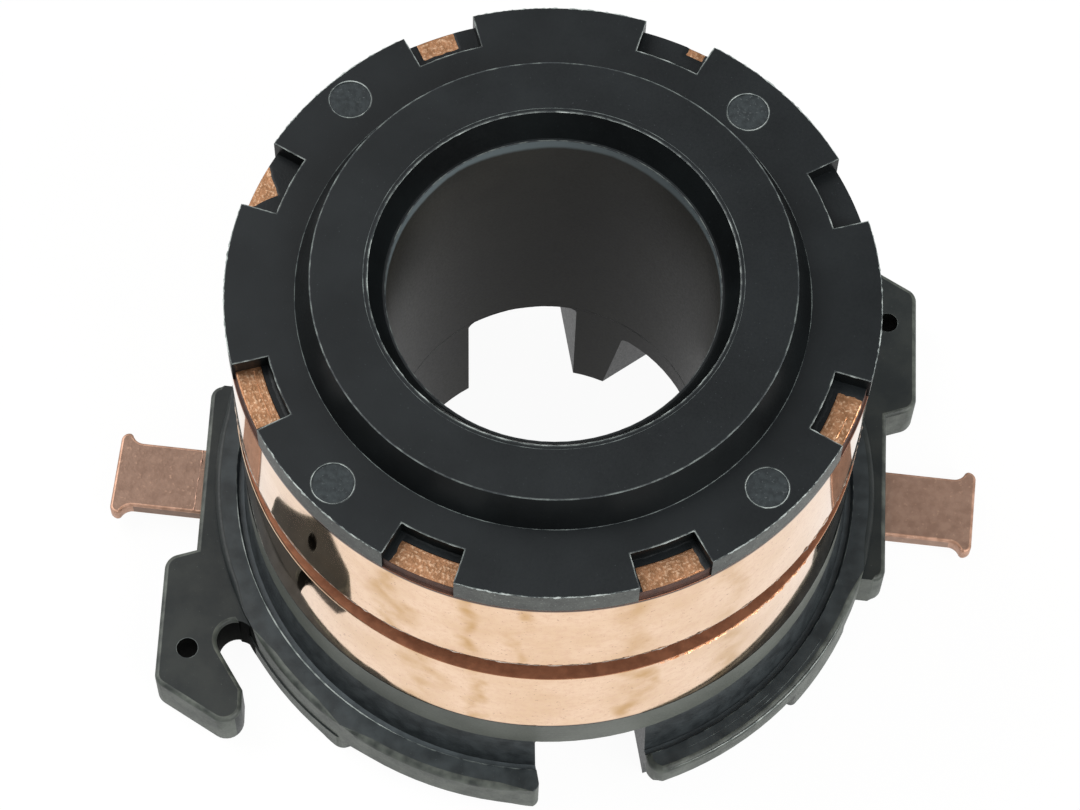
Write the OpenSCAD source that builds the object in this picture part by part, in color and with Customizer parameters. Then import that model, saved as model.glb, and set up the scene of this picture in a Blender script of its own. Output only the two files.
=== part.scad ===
// Two-ring slip ring for an alternator rotor, standing on its flange.
// The origin is on the shaft axis at the level of the feet, +Z runs up the bore, millimetres.
// The left lead strip points along -X and the right one along +X.

/* [Rings] */
// Running diameter of both rings, of the rim above them and of the collar below them
ring_d = 33.4; // [30:0.1:36]
// Wall of a ring from its bore to the running face
ring_wall = 1.5; // [1.2:0.1:1.8]
// Running face of the upper ring
upper_face_h = 7.46; // [5:0.01:9]
// Running face of the lower ring
lower_face_h = 7.01; // [5:0.01:9]
// Height of the rebate at a ring's outer end, which the moulding grips
rebate_h = 0.72; // [0.4:0.01:0.9]
// Depth of that rebate
rebate_depth = 0.15; // [0.1:0.01:0.3]
// Height of the open groove between the two rings
groove_h = 2.06; // [1.4:0.01:3]
// Depth of the groove below the running faces
groove_depth = 1.1; // [0.6:0.1:1.2]

/* [Shaft bore and boss] */
// Bore that is pressed on the shaft
bore_d = 17; // [15:0.1:18]
// Rim on top of the upper ring, from the running face to its flat top
rim_h = 1.72; // [1.5:0.01:2.5]
// Height of the drafted boss over the rim
boss_h = 1.87; // [1:0.01:3]
// Boss diameter where it meets the rim
boss_base_d = 26.2; // [24:0.1:27]
// Boss diameter at its top
boss_top_d = 24.6; // [23:0.1:25.5]
// Widening of the lead-in at the boss top, on each side of the bore
lead_in_w = 0.9; // [0.65:0.05:1.5]
// Widening left at the foot of the steep lead-in
lead_in_foot_w = 0.15; // [0.05:0.05:0.3]
// Depth of the lead-in below the boss top
lead_in_depth = 1.45; // [1:0.01:2]

/* [Rim pockets] */
// Number of pockets around the rim
pocket_count = 8; // [4:1:10]
// Direction of the first pocket
pocket_start_deg = 27.6; // [0:0.1:44]
// Width of a pocket seen from the axis
pocket_deg = 13.3; // [8:0.1:20]
// Width of a pocket across the rim
pocket_w = 1.9; // [1.7:0.05:2.7]
// Depth of a pocket, down to the end face of the upper ring
pocket_depth = 1; // [0.8:0.05:1.2]

/* [Collar and skirt] */
// Height of the collar's underside over the feet
collar_z = 6.35; // [6:0.05:7]
// Turned collar under the lower ring
collar_h = 2.4; // [1.8:0.01:3]
// Inset of the moulded skirt under the collar
skirt_inset = 0.15; // [0.05:0.01:0.3]
// Flare of the skirt at its foot, beyond the running faces
skirt_flare = 0.25; // [0.1:0.05:0.35]
// Height of the skirt foot over the feet
skirt_foot_z = 3.3; // [2.8:0.05:3.4]

/* [Flange] */
// Reach of the flange beyond the running faces of the rings
flange_out = 1.9; // [1.5:0.1:2.3]
// Height of the flange top over the feet
flange_top_z = 3.7; // [3.5:0.05:4.2]
// Height of the flange underside over the feet
flange_under_z = 1.2; // [0.8:0.05:1.6]
// Start of the flange top beyond the running faces, at the edge of the narrow channel
ridge_out = 0.65; // [0.5:0.05:0.9]
// Outer side of the channel floor beyond the running faces
channel_out = 0.55; // [0.45:0.05:0.6]
// Edge of the flat base beyond the running faces
base_out = 0.4; // [0:0.05:0.5]

/* [Feet] */
// Reach of the long feet beyond the flange
foot_proud = 0.1; // [0.05:0.05:0.4]
// Direction where a long foot starts
foot_start_deg = -146; // [-150:1:-135]
// Direction of the round end of a long foot
foot_end_deg = -122; // [-126:1:-112]
// Direction where a short foot starts
bump_start_deg = -36; // [-40:1:-30]
// Direction where a short foot ends
bump_end_deg = -18; // [-25:1:-15]
// Height of the short foot's underside over the feet
bump_under_z = 0.6; // [0.2:0.05:0.8]
// Direction where the thinner flange beside the gap starts
thin_start_deg = -68; // [-70:1:-66]
// Height of the thinner flange's underside over the feet
thin_under_z = 1.9; // [1.4:0.05:2.2]

/* [Wire slots] */
// Direction of the slot that runs right across under the bore
slot_deg = 106.1; // [100:0.1:110]
// Width of that slot at the bore
slot_w = 6.14; // [5:0.02:7]
// Height of its ceiling next to the bore over the collar's underside
slot_rise = 1.95; // [0.7:0.05:2.6]
// Wall between the bore and the step where the ceiling comes down to the collar
slot_step_w = 2.1; // [1:0.1:3.5]
// Depth of the gap in the skirt, in from the running faces
gap_depth = 3.2; // [1.7:0.1:3.7]
// Offset of the gap's wide side from the slot's middle line
gap_wide = 3.4; // [3.2:0.05:3.8]
// Offset of the gap's narrow side from the slot's middle line
gap_narrow = 2.62; // [2.3:0.02:3]
// Rounding of the flange corner on the gap's wide side
gap_wide_r = 0.5; // [0.3:0.1:1]
// Rounding of the flange corner on the gap's narrow side
gap_narrow_r = 1; // [0.3:0.1:1.2]
// Rounding of the slot ceilings
slot_corner_r = 0.5; // [0.2:0.05:0.8]
// Direction of the wide pocket beside the slot
relief_deg = 40.9; // [38:0.1:44]
// Half width of the wide pocket at its ceiling
relief_top_half = 3.6; // [3:0.02:4]
// Half width of the wide pocket at the bottom
relief_bottom_half = 4.62; // [4.1:0.02:4.8]
// Height of the wide pocket's ceiling over the collar's underside
relief_rise = 0.25; // [-1.3:0.05:0.6]
// Depth of the wide pocket into the wall of the bore
relief_depth = 5.5; // [3.5:0.1:6.4]

/* [Wings and ears] */
// Height of the wing and ear tops
ear_top_z = 3.15; // [2.8:0.05:3.5]
// Reach of the wing's outer face at its end edge, beyond the running faces
wing_out = 2.85; // [2.5:0.05:3.3]
// Moulding left beside a strip at the wing's end
strip_cover = 0.22; // [0.1:0.02:0.6]
// Rounding of the wing corner
wing_corner_r = 0.7; // [0.3:0.05:1]
// Diameter of the wire hole in an ear
ear_hole_d = 1.2; // [0.8:0.1:1.6]
// Radius of the closed end of the hook slot
hook_slot_r = 1.06; // [0.8:0.02:1.2]
// Radius of the hook's tip
hook_tip_r = 0.98; // [0.6:0.02:1.1]

/* [Lead strips] */
// Thickness of the strips
strip_t = 1; // [0.8:0.05:1.2]
// Width of a strip
strip_w = 3.92; // [3:0.02:4.4]
// Width of the flared end
tab_w = 5; // [4.6:0.02:6]
// Length of a strip out of its wing
tab_len = 4.8; // [3.9:0.05:6.4]
// Length of the straight sides at the flared end
tab_flat = 0.6; // [0.5:0.05:1]
// Radius of the concave sides where the strip widens
flare_r = 0.7; // [0.6:0.05:1.2]
// Rounding of the strip's end corners
tab_corner_r = 0.45; // [0.1:0.05:0.45]
// Height of the strip's top over the feet
strip_top_z = 1.7; // [1.6:0.05:2]
// Offset of the strip's middle line from the axis
strip_offset = 1.62; // [1:0.02:2]
// Bend radius on the inside of a strip's hidden turns
bend_r = 0.5; // [0.3:0.1:1]
// Length of a riser's upper end that is joined to its ring
joint_h = 3; // [2:0.1:4]
// Space between the upper ring's riser and the lower ring
riser_gap = 1.1; // [0.8:0.1:1.4]

/* [Ejector marks] */
// Diameter of the round marks on the rim
mark_d = 2.18; // [1.6:0.02:2.3]
// Depth of the marks
mark_depth = 0.05; // [0.02:0.01:0.1]

/* [Hidden] */
$fn = 96;
// Amount by which a cutter passes a face
over = 1;
ring_r = ring_d / 2;
ring_inner_r = ring_r - ring_wall;
rebate_r = ring_r - rebate_depth;
groove_r = ring_r - groove_depth;
pocket_inner_r = ring_r - pocket_w;
bore_r = bore_d / 2;
lead_in_r = bore_r + lead_in_w;
lead_in_foot_r = bore_r + lead_in_foot_w;
skirt_top_r = ring_r - skirt_inset;
skirt_foot_r = ring_r + skirt_flare;
base_r = ring_r + base_out;
channel_r = ring_r + channel_out;
ridge_r = ring_r + ridge_out;
flange_r = ring_r + flange_out;
foot_r = flange_r + foot_proud;
slot_step_r = bore_r + slot_step_w;
gap_start_r = ring_r - gap_depth;
relief_end_r = bore_r + relief_depth;
strip_bottom_z = strip_top_z - strip_t;
wing_x = ring_r + wing_out;
wing_end_y = strip_offset + strip_w / 2 + strip_cover;
tab_end_x = wing_x + tab_len;
slot_top_z = collar_z + slot_rise;
relief_top_z = collar_z + relief_rise;

// Heights over the feet, from the skirt up
lower_ring_z = collar_z + collar_h;
lower_ring_end_z = lower_ring_z - rebate_h;
groove_z = lower_ring_z + lower_face_h;
upper_ring_z = groove_z + groove_h;
rim_z = upper_ring_z + upper_face_h;
upper_ring_end_z = rim_z + rebate_h;
rim_top_z = rim_z + rim_h;
boss_top_z = rim_top_z + boss_h;
lead_in_foot_z = boss_top_z - lead_in_depth;

// Ejector marks as distance in from the running faces and direction
marks = [[1.42, 139.9], [2.1, 52.5], [1.44, -129.3], [1.62, -39.1]];
// Foot of the wing's outer face, where the ear starts
wing_root = [-ring_r - 2.2, -6.35];
// Inner end of the wing and the ear, inside the body
wing_inner_x = 2.7 - ring_r;
// Left ear outline as x, y and corner radius, from the wing round to the hook slot
ear_outline = [
  [wing_inner_x, 0, 0],
  [wing_root[0], wing_root[1], 0],
  [-ring_r - 3.85, -7.05, 0.9],
  [-ring_r - 3.35, -14.4, 0.8],
  [1.75 - ring_r, -16.97, hook_tip_r],
  [1.58 - ring_r, -14.3, 0.8],
  [-ring_r - 0.12, -12.1, 0],
  [1.7 - ring_r, -11, 0],
  [3.7 - ring_r, -8, 0]
];
ear_hole = [-ring_r - 1.82, -12.3];
hook_slot = [0.75 - ring_r, -11.45];
// Segments in a rounded corner of an outline
corner_steps = 10;
// Part of a gap corner's rounding, across the gap, that is left before it meets the flange's edge
gap_corner_part = 0.7;

// Angle of the line from one point to another
function heading(from, to) = atan2(to[1] - from[1], to[0] - from[0]);

// Difference of two angles in the range -180 to 180
function turn(a, b) = (b - a + 540) % 360 - 180;

// Arc that rounds corner p of radius p[2] between its neighbours
function corner(before, p, after) =
  p[2] == 0 ? [[p[0], p[1]]] : let (
    go_in = heading(before, p),
    bend = turn(go_in, heading(p, after)),
    side = bend > 0 ? 1 : -1,
    reach = p[2] / cos(bend / 2),
    middle = go_in + bend / 2 + side * 90,
    cx = p[0] + reach * cos(middle),
    cy = p[1] + reach * sin(middle)
  ) [for (i = [0:corner_steps])
      let (a = go_in - side * 90 + bend * i / corner_steps)
      [cx + p[2] * cos(a), cy + p[2] * sin(a)]];

// Outline with each corner rounded by its own radius
module rounded_outline(points) {
  n = len(points);
  polygon([for (i = [0:n - 1])
    for (q = corner(points[(i + n - 1) % n], points[i], points[(i + 1) % n])) q]);
}

// The same shape again, half a turn round the axis
module both_sides() {
  children();
  rotate([0, 0, 180]) children();
}

// Solid of revolution, drawn as distance from the axis and height
module turned(points) {
  rotate_extrude() polygon(points);
}

// Sector of a flat ring
module sector(inner, outer, from_deg, to_deg, bottom, top) {
  rotate([0, 0, from_deg])
    rotate_extrude(angle = to_deg - from_deg)
      translate([inner, bottom]) square([outer - inner, top - bottom]);
}

// Prism along a direction, drawn across it as offset and height
module radial_prism(direction, from_r, to_r) {
  rotate([0, 0, direction])
    translate([to_r, 0, 0])
      rotate([90, 0, -90])
        linear_extrude(to_r - from_r) children();
}

module upper_slip_ring() {
  color("peachpuff")
    turned([
      [ring_inner_r, upper_ring_z],
      [ring_r, upper_ring_z],
      [ring_r, rim_z],
      [rebate_r, rim_z],
      [rebate_r, upper_ring_end_z],
      [ring_inner_r, upper_ring_end_z]
    ]);
}

module lower_slip_ring() {
  color("peachpuff")
    turned([
      [ring_inner_r, lower_ring_end_z],
      [rebate_r, lower_ring_end_z],
      [rebate_r, lower_ring_z],
      [ring_r, lower_ring_z],
      [ring_r, groove_z],
      [ring_inner_r, groove_z]
    ]);
}

// Flat end of a strip that sticks out of the wing, drawn for the right side
module strip_tab() {
  half = strip_w / 2;
  widen = (tab_w - strip_w) / 2;
  // Direction on the flare circle where it meets the straight side of the tab
  meet = acos(1 - widen / flare_r);
  flare_x = tab_end_x - tab_flat - flare_r * sin(meet);
  translate([0, strip_offset, strip_bottom_z])
    linear_extrude(strip_t)
      difference() {
        union() {
          translate([ring_inner_r, -half]) square([tab_end_x - over - ring_inner_r, strip_w]);
          rounded_outline([
            [flare_x, -tab_w / 2, 0],
            [tab_end_x, -tab_w / 2, tab_corner_r],
            [tab_end_x, tab_w / 2, tab_corner_r],
            [flare_x, tab_w / 2, 0]
          ]);
        }
        for (side = [-1, 1])
          translate([flare_x, side * (half + flare_r)]) circle(flare_r);
      }
}

// Hidden part of a strip as a section through the axis: in from the side and up
module riser_section(outer_r, top) {
  inner_r = outer_r - strip_t;
  bend_out = bend_r + strip_t;
  translate([outer_r + bend_r, strip_bottom_z]) square([ring_inner_r + over - outer_r, strip_t]);
  intersection() {
    translate([outer_r + bend_r, strip_bottom_z + bend_out])
      difference() {
        circle(bend_out);
        circle(bend_r);
      }
    translate([inner_r, strip_bottom_z]) square(bend_out);
  }
  translate([inner_r, strip_bottom_z + bend_out]) square([strip_t, top - strip_bottom_z - bend_out]);
}

// Lead strip for the right side, whose hidden part is turned from the given section
module lead_strip() {
  strip_tab();
  intersection() {
    rotate_extrude() children();
    translate([0, strip_offset - strip_w / 2, 0]) cube([ring_r + over, strip_w, boss_top_z]);
  }
}

// Strip to the lower ring, straight up to the ring's bore
module right_lead_strip() {
  color("rosybrown")
    lead_strip() riser_section(ring_inner_r, lower_ring_end_z + joint_h);
}

// Strip to the upper ring, which stays clear of the lower ring and then steps out
module left_lead_strip() {
  pass_r = ring_inner_r - riser_gap;
  color("rosybrown")
    rotate([0, 0, 180])
      lead_strip() {
        union() {
          riser_section(pass_r, groove_z);
          polygon([
            [pass_r - strip_t, groove_z],
            [pass_r, groove_z],
            [ring_inner_r, upper_ring_z],
            [ring_inner_r, upper_ring_z + joint_h],
            [ring_inner_r - strip_t, upper_ring_z + joint_h],
            [ring_inner_r - strip_t, upper_ring_z]
          ]);
        }
      }
}

// Turned and moulded outside of the body, with the bore left solid
module body_core() {
  turned([
    [0, 0],
    [base_r, 0],
    [base_r, skirt_foot_z],
    [skirt_foot_r, skirt_foot_z],
    [skirt_top_r, collar_z],
    [ring_r, collar_z],
    [ring_r, groove_z],
    [groove_r, groove_z],
    [groove_r, upper_ring_z],
    [ring_r, upper_ring_z],
    [ring_r, rim_top_z],
    [boss_base_d / 2, rim_top_z],
    [boss_top_d / 2, boss_top_z],
    [0, boss_top_z]
  ]);
}

// Flange rim with its thicker part and the short feet, trimmed to one outer face
module flange() {
  root_r = base_r - over;
  plate_r = flange_r + over;
  mid_z = (thin_under_z + flange_top_z) / 2;
  intersection() {
    cylinder(r = flange_r, h = collar_z);
    union() {
      turned([
        [root_r, thin_under_z],
        [plate_r, thin_under_z],
        [plate_r, flange_top_z],
        [ridge_r, flange_top_z],
        [channel_r, skirt_foot_z],
        [root_r, skirt_foot_z]
      ]);
      both_sides() {
        sector(root_r, plate_r, bump_start_deg, thin_start_deg + 180, flange_under_z, mid_z);
        sector(root_r, plate_r, bump_start_deg, bump_end_deg, bump_under_z, mid_z);
      }
    }
  }
}

// Long foot under the flange, with its round end
module foot() {
  foot_half = (foot_r - base_r) / 2;
  foot_h = flange_under_z + foot_half / 2;
  sector(base_r - over, foot_r, foot_start_deg, foot_end_deg, 0, foot_h);
  rotate([0, 0, foot_end_deg])
    translate([base_r + foot_half, 0, 0])
      cylinder(r = foot_half, h = foot_h);
}

// Wing and hooked ear beside the left strip
module wing_and_ear() {
  linear_extrude(ear_top_z) {
    rounded_outline([
      [wing_inner_x, wing_end_y, 0],
      [-wing_x, wing_end_y, wing_corner_r],
      [wing_root[0], wing_root[1], 0],
      [wing_inner_x, wing_root[1], 0]
    ]);
    difference() {
      rounded_outline(ear_outline);
      translate(ear_hole) circle(d = ear_hole_d, $fn = 48);
      translate(hook_slot) circle(hook_slot_r, $fn = 48);
    }
  }
}

// Bore with its lead-in, right through
module bore_cut() {
  rotate_extrude()
    polygon([
      [0, -over],
      [bore_r, -over],
      [bore_r, lead_in_foot_z],
      [lead_in_foot_r, lead_in_foot_z],
      [lead_in_r, boss_top_z],
      [lead_in_r, boss_top_z + over],
      [0, boss_top_z + over]
    ]);
}

// Pockets in the rim that open the end face of the upper ring
module rim_pockets() {
  for (i = [0:pocket_count - 1]) {
    middle = pocket_start_deg + i * 360 / pocket_count;
    sector(pocket_inner_r, ring_r + over, middle - pocket_deg / 2, middle + pocket_deg / 2,
           rim_top_z - pocket_depth, rim_top_z + over);
    sector(rebate_r, ring_r + over, middle - pocket_deg / 2, middle + pocket_deg / 2,
           rim_z, rim_top_z);
  }
}

// Wire slot from the bore to the skirt and the gap where it leaves the skirt
module slot_cut() {
  half = slot_w / 2;
  radial_prism(slot_deg, 0, slot_step_r)
    rounded_outline([
      [-half, -over, 0],
      [half, -over, 0],
      [half, slot_top_z, slot_corner_r],
      [-half, slot_top_z, slot_corner_r]
    ]);
  radial_prism(slot_deg, slot_step_r - over, gap_start_r)
    translate([-half, -over]) square([slot_w, collar_z + over]);
  radial_prism(slot_deg, gap_start_r - over, foot_r + over)
    rounded_outline([
      [-gap_narrow, -over, 0],
      [gap_wide, -over, 0],
      [gap_wide, collar_z, slot_corner_r],
      [-gap_narrow, collar_z, 0]
    ]);
  rotate([0, 0, slot_deg])
    translate([0, 0, -over])
      linear_extrude(flange_top_z + 2 * over) {
        gap_corner(gap_narrow, gap_narrow_r);
        mirror([0, 1]) gap_corner(gap_wide, gap_wide_r);
      }
}

// Area between a flange corner beside the gap and the corner's rounding
module gap_corner(offset, radius) {
  // Distance along the gap at which the rounding runs out through the flange's edge
  reach = sqrt(pow(flange_r, 2) - pow(offset + gap_corner_part * radius, 2));
  rounded_outline([
    [reach + over, offset - over, 0],
    [reach + over, offset + radius + over, 0],
    [reach, offset + radius + over, 0],
    [reach, offset, radius],
    [reach - radius - over, offset, 0],
    [reach - radius - over, offset - over, 0]
  ]);
}

// Wide pocket beside the slot, open to the bore and the underside
module relief_cut() {
  radial_prism(relief_deg, 0, relief_end_r)
    rounded_outline([
      [-relief_bottom_half, -over, 0],
      [relief_bottom_half, -over, 0],
      [relief_top_half, relief_top_z, slot_corner_r],
      [-relief_top_half, relief_top_z, slot_corner_r]
    ]);
}

module ejector_marks() {
  for (m = marks)
    rotate([0, 0, m[1]])
      translate([ring_r - m[0], 0, rim_top_z - mark_depth])
        cylinder(d = mark_d, h = over, $fn = 48);
}

module moulded_body() {
  color("darkslategray")
    difference() {
      union() {
        body_core();
        flange();
        both_sides() foot();
        both_sides() wing_and_ear();
      }
      bore_cut();
      rim_pockets();
      both_sides() slot_cut();
      both_sides() relief_cut();
      ejector_marks();
      upper_slip_ring();
      lower_slip_ring();
      left_lead_strip();
      right_lead_strip();
    }
}

moulded_body();
upper_slip_ring();
lower_slip_ring();
left_lead_strip();
right_lead_strip();
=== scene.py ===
"""Slip ring of an alternator rotor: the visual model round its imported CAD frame.

The moulding and the lead strips keep the shape of their CAD nodes and get softened edges. The two rings
are swept from their sections, and the thin resin left in the rim pockets and the burrs along the edges
are grown by Geometry Nodes. Sizes are in millimetres until MM turns them to metres, directions are in
degrees from +X.
"""

import logging
import math
from collections.abc import Callable, Iterable
from dataclasses import dataclass
from enum import Enum

import bmesh
import bpy
from mathutils import Matrix, Vector


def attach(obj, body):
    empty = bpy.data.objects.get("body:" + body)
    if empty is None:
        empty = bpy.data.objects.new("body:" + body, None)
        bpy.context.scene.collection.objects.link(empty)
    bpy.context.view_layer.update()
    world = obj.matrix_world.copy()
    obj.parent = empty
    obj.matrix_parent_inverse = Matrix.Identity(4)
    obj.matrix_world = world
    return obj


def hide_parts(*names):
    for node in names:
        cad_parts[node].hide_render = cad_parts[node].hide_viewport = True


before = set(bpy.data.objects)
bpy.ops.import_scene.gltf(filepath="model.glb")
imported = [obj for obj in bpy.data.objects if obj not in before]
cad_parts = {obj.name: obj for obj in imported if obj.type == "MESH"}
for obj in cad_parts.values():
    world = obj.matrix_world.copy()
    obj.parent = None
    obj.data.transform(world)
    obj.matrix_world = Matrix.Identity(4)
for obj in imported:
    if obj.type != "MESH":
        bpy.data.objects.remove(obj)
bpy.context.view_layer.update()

Tree = bpy.types.NodeTree
Socket = bpy.types.NodeSocket
Material = bpy.types.Material
Mesh = bpy.types.Mesh
Shell = bmesh.types.BMesh

LOG = logging.getLogger("slip_ring")
MM = 0.001
MATHS = "ShaderNodeMath"
VECTOR_MATHS = "ShaderNodeVectorMath"
NOISE = "ShaderNodeTexNoise"
MAP_RANGE = "ShaderNodeMapRange"
BUMP = "ShaderNodeBump"
# Noise values between which a cloud changes its tone, and those between which grain changes the sheen
CLOUD_LOW, CLOUD_HIGH = 0.35, 0.65
GRAIN_LOW, GRAIN_HIGH = 0.3, 0.7
# Middle of a noise's values
NOISE_MIDDLE = 0.5
# Stretch that turns a noise into lines round the axis, and the one that turns it into upright lines
LINES_ROUND = (0.06, 0.06, 1.0)
LINES_UPRIGHT = (1.0, 1.0, 0.18)
# Most height that the normal of an upright face has
UPRIGHT = 0.1
# Distances in metres up to which two corners of a CAD shell, and the ends of a closed path, are one point
SAME_CORNER = 2e-7
SAME_END = 1e-6
# Angle up to which neighbouring CAD triangles are one flat face
FLAT_ANGLE = math.radians(0.3)


class Face(Enum):
    """Kinds of surface on the moulding, in the order of its material slots."""

    MOULDED = 0
    EDGE = 1
    TURNED = 2
    BORE = 3
    MARK = 4
    SIDE = 5
    WALL = 6
    ROUND = 7
    COLLAR = 8
    LEDGE = 9
    SKIRT = 10
    HOLE = 11
    FLANGE = 12
    CHANNEL = 13


class RingFace(Enum):
    """Kinds of surface on a copper ring, in the order of its material slots."""

    RUNNING = 0
    GROOVE = 1
    END = 2
    REBATE = 3


class StripFace(Enum):
    """Kinds of surface on a lead strip, in the order of its material slots."""

    PRESSED = 0
    SHEARED = 1


class RingEnd(Enum):
    """The end of a ring that has the rebate."""

    TOP = 0
    BOTTOM = 1


def linear(code: str) -> tuple[float, float, float, float]:
    """Turn an sRGB hex colour to linear RGBA.

    Args:
        code: Colour as #rrggbb.

    Returns:
        Linear red, green and blue, and an alpha of 1.
    """
    parts = [int(code[i : i + 2], 16) / 255 for i in (1, 3, 5)]
    red, green, blue = (p / 12.92 if p <= 0.04045 else ((p + 0.055) / 1.055) ** 2.4 for p in parts)
    return red, green, blue, 1.0


def per_metre(size_mm: float) -> float:
    """Scale of a texture on Object coordinates whose features are this many millimetres across."""
    return 1 / (size_mm * MM)


def add(
    tree: Tree,
    kind: str,
    settings: dict[str, object] | None = None,
    inputs: dict[str | int, object] | None = None,
) -> bpy.types.Node:
    """Add a node with its settings and links.

    Args:
        tree: Shader or geometry node tree.
        kind: Blender's name for the node's type.
        settings: Properties of the node.
        inputs: Value, source socket or list of source sockets for each input, by name or index.

    Returns:
        The new node.
    """
    node = tree.nodes.new(kind)
    for name, value in (settings or {}).items():
        setattr(node, name, value)
    for name, value in (inputs or {}).items():
        sources = value if isinstance(value, list) else [value]
        if isinstance(sources[0], Socket):
            for source in sources:
                tree.links.new(source, node.inputs[name])
        else:
            node.inputs[name].default_value = value
    return node


def put(name: str, data: bpy.types.ID) -> bpy.types.Object:
    """Make an object and put it in the scene.

    Args:
        name: Name of the object.
        data: Its mesh, camera or light.

    Returns:
        The object.
    """
    thing = bpy.data.objects.new(name, data)
    bpy.context.scene.collection.objects.link(thing)
    return thing


def empty_material(name: str) -> tuple[Material, Tree]:
    """Start a material.

    Args:
        name: Name of the material.

    Returns:
        The material and its empty node tree.
    """
    material = bpy.data.materials.new(name)
    material.use_nodes = True
    material.node_tree.nodes.clear()
    return material, material.node_tree


@dataclass(frozen=True)
class Layer:
    """A colour over those under it, where a pattern's value goes from none of it to the most of it."""

    pattern: Socket
    none_at: float
    most_at: float
    colour: str
    most: float = 1.0
    blend: str = "LINEAR"


def paint(tree: Tree, base: str, layers: Iterable[Layer]) -> Socket:
    """Lay colours over a base.

    Args:
        tree: Tree of the material.
        base: Colour underneath, as #rrggbb.
        layers: The colours over it, from the lowest one up.

    Returns:
        Socket of the colour that comes out.
    """
    colour: Socket | tuple[float, ...] = linear(base)
    for layer in layers:
        share = add(
            tree,
            MAP_RANGE,
            {"interpolation_type": layer.blend},
            {
                "Value": layer.pattern,
                "From Min": layer.none_at,
                "From Max": layer.most_at,
                "To Max": layer.most,
            },
        ).outputs[0]
        colour = add(
            tree,
            "ShaderNodeMix",
            {"data_type": "RGBA"},
            {"Factor": share, 6: colour, 7: linear(layer.colour)},
        ).outputs[2]
    return colour


@dataclass(frozen=True)
class Finish:
    """Finish of one surface, from procedural nodes on Object coordinates."""

    name: str

    def surface(self, tree: Tree, place: Socket) -> dict[str, object]:
        """Add the nodes that this finish has of its own.

        Args:
            tree: Tree of the material.
            place: Object coordinates.

        Returns:
            Value or source of each of the shader's inputs, by name.
        """
        raise NotImplementedError

    def build(self) -> Material:
        """Make the material.

        Returns:
            The finished material.
        """
        material, tree = empty_material(self.name)
        place = add(tree, "ShaderNodeTexCoord").outputs["Object"]
        shader = add(tree, "ShaderNodeBsdfPrincipled", inputs=self.surface(tree, place)).outputs[0]
        add(tree, "ShaderNodeOutputMaterial", inputs={"Surface": shader})
        return material


@dataclass(frozen=True)
class BlackMoulding(Finish):
    """Glass-filled black thermoset: satin and almost black, faintly clouded by its filler."""

    name: str = "black_thermoset_moulded"
    colour: str = "#0f1315"
    cloud_colour: str = "#171b1d"
    # Coarser than the filler's own clouds, which are too fine to show in the render
    cloud_mm: float = 4.0
    fleck_colour: str = "#3a4042"
    fleck_mm: float = 0.1
    fleck_from: float = 0.74
    fleck_blend: float = 0.1
    roughness_low: float = 0.38
    roughness_high: float = 0.52
    ior: float = 1.5
    specular: float = 0.22
    grain_mm: float = 0.14
    grain_bump: float = 0.12
    relief_mm: float = 0.02
    # Lines left by the tool all round, none where their spacing is 0
    turning_mm: float = 0.0
    turning_bump: float = 0.5
    # Paler band from one height up to another, none where the two are the same
    band_colour: str = "#596366"
    band_from: float = 0.0
    band_to: float = 0.0
    band_ragged: float = 0.7

    def surface(self, tree: Tree, place: Socket) -> dict[str, object]:
        """Add clouds, flecks and grain, and the band and the turned lines where there are any.

        Args:
            tree: Tree of the material.
            place: Object coordinates.

        Returns:
            Value or source of each of the shader's inputs, by name.
        """
        cloud, grain, fleck = (
            add(
                tree, NOISE, inputs={"Vector": place, "Scale": per_metre(size), "Detail": detail}
            ).outputs["Fac"]
            for size, detail in ((self.cloud_mm, 4.0), (self.grain_mm, 2.0), (self.fleck_mm, 1.0))
        )
        layers = [
            Layer(cloud, CLOUD_LOW, CLOUD_HIGH, self.cloud_colour),
            Layer(fleck, self.fleck_from, self.fleck_from + self.fleck_blend, self.fleck_colour),
        ]
        if self.band_to > self.band_from:
            height = add(tree, "ShaderNodeSeparateXYZ", inputs={0: place}).outputs["Z"]
            ragged = add(
                tree,
                MATHS,
                {"operation": "MULTIPLY_ADD"},
                {0: cloud, 1: self.band_ragged * MM, 2: height},
            ).outputs[0]
            low, high = ((z + self.band_ragged / 2) * MM for z in (self.band_from, self.band_to))
            layers.append(Layer(ragged, low, high, self.band_colour, blend="SMOOTHSTEP"))
        roughness = add(
            tree,
            MAP_RANGE,
            inputs={
                "Value": grain, "From Min": GRAIN_LOW, "From Max": GRAIN_HIGH,
                "To Min": self.roughness_low, "To Max": self.roughness_high,
            },
        ).outputs[0]
        relief = {"Distance": self.relief_mm * MM}
        normal = add(tree, BUMP, inputs=relief | {"Strength": self.grain_bump, "Height": grain}).outputs[0]
        if self.turning_mm:
            stretched = add(
                tree, "ShaderNodeMapping", inputs={"Vector": place, "Scale": LINES_ROUND}
            ).outputs[0]
            lines = add(
                tree,
                NOISE,
                inputs={"Vector": stretched, "Scale": per_metre(self.turning_mm), "Detail": 1.0},
            ).outputs["Fac"]
            turned = {"Strength": self.turning_bump, "Height": lines, "Normal": normal}
            normal = add(tree, BUMP, inputs=relief | turned).outputs[0]
        return {
            "Base Color": paint(tree, self.colour, layers),
            "Roughness": roughness,
            "Normal": normal,
            "IOR": self.ior,
            "Specular IOR Level": self.specular,
        }


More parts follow.
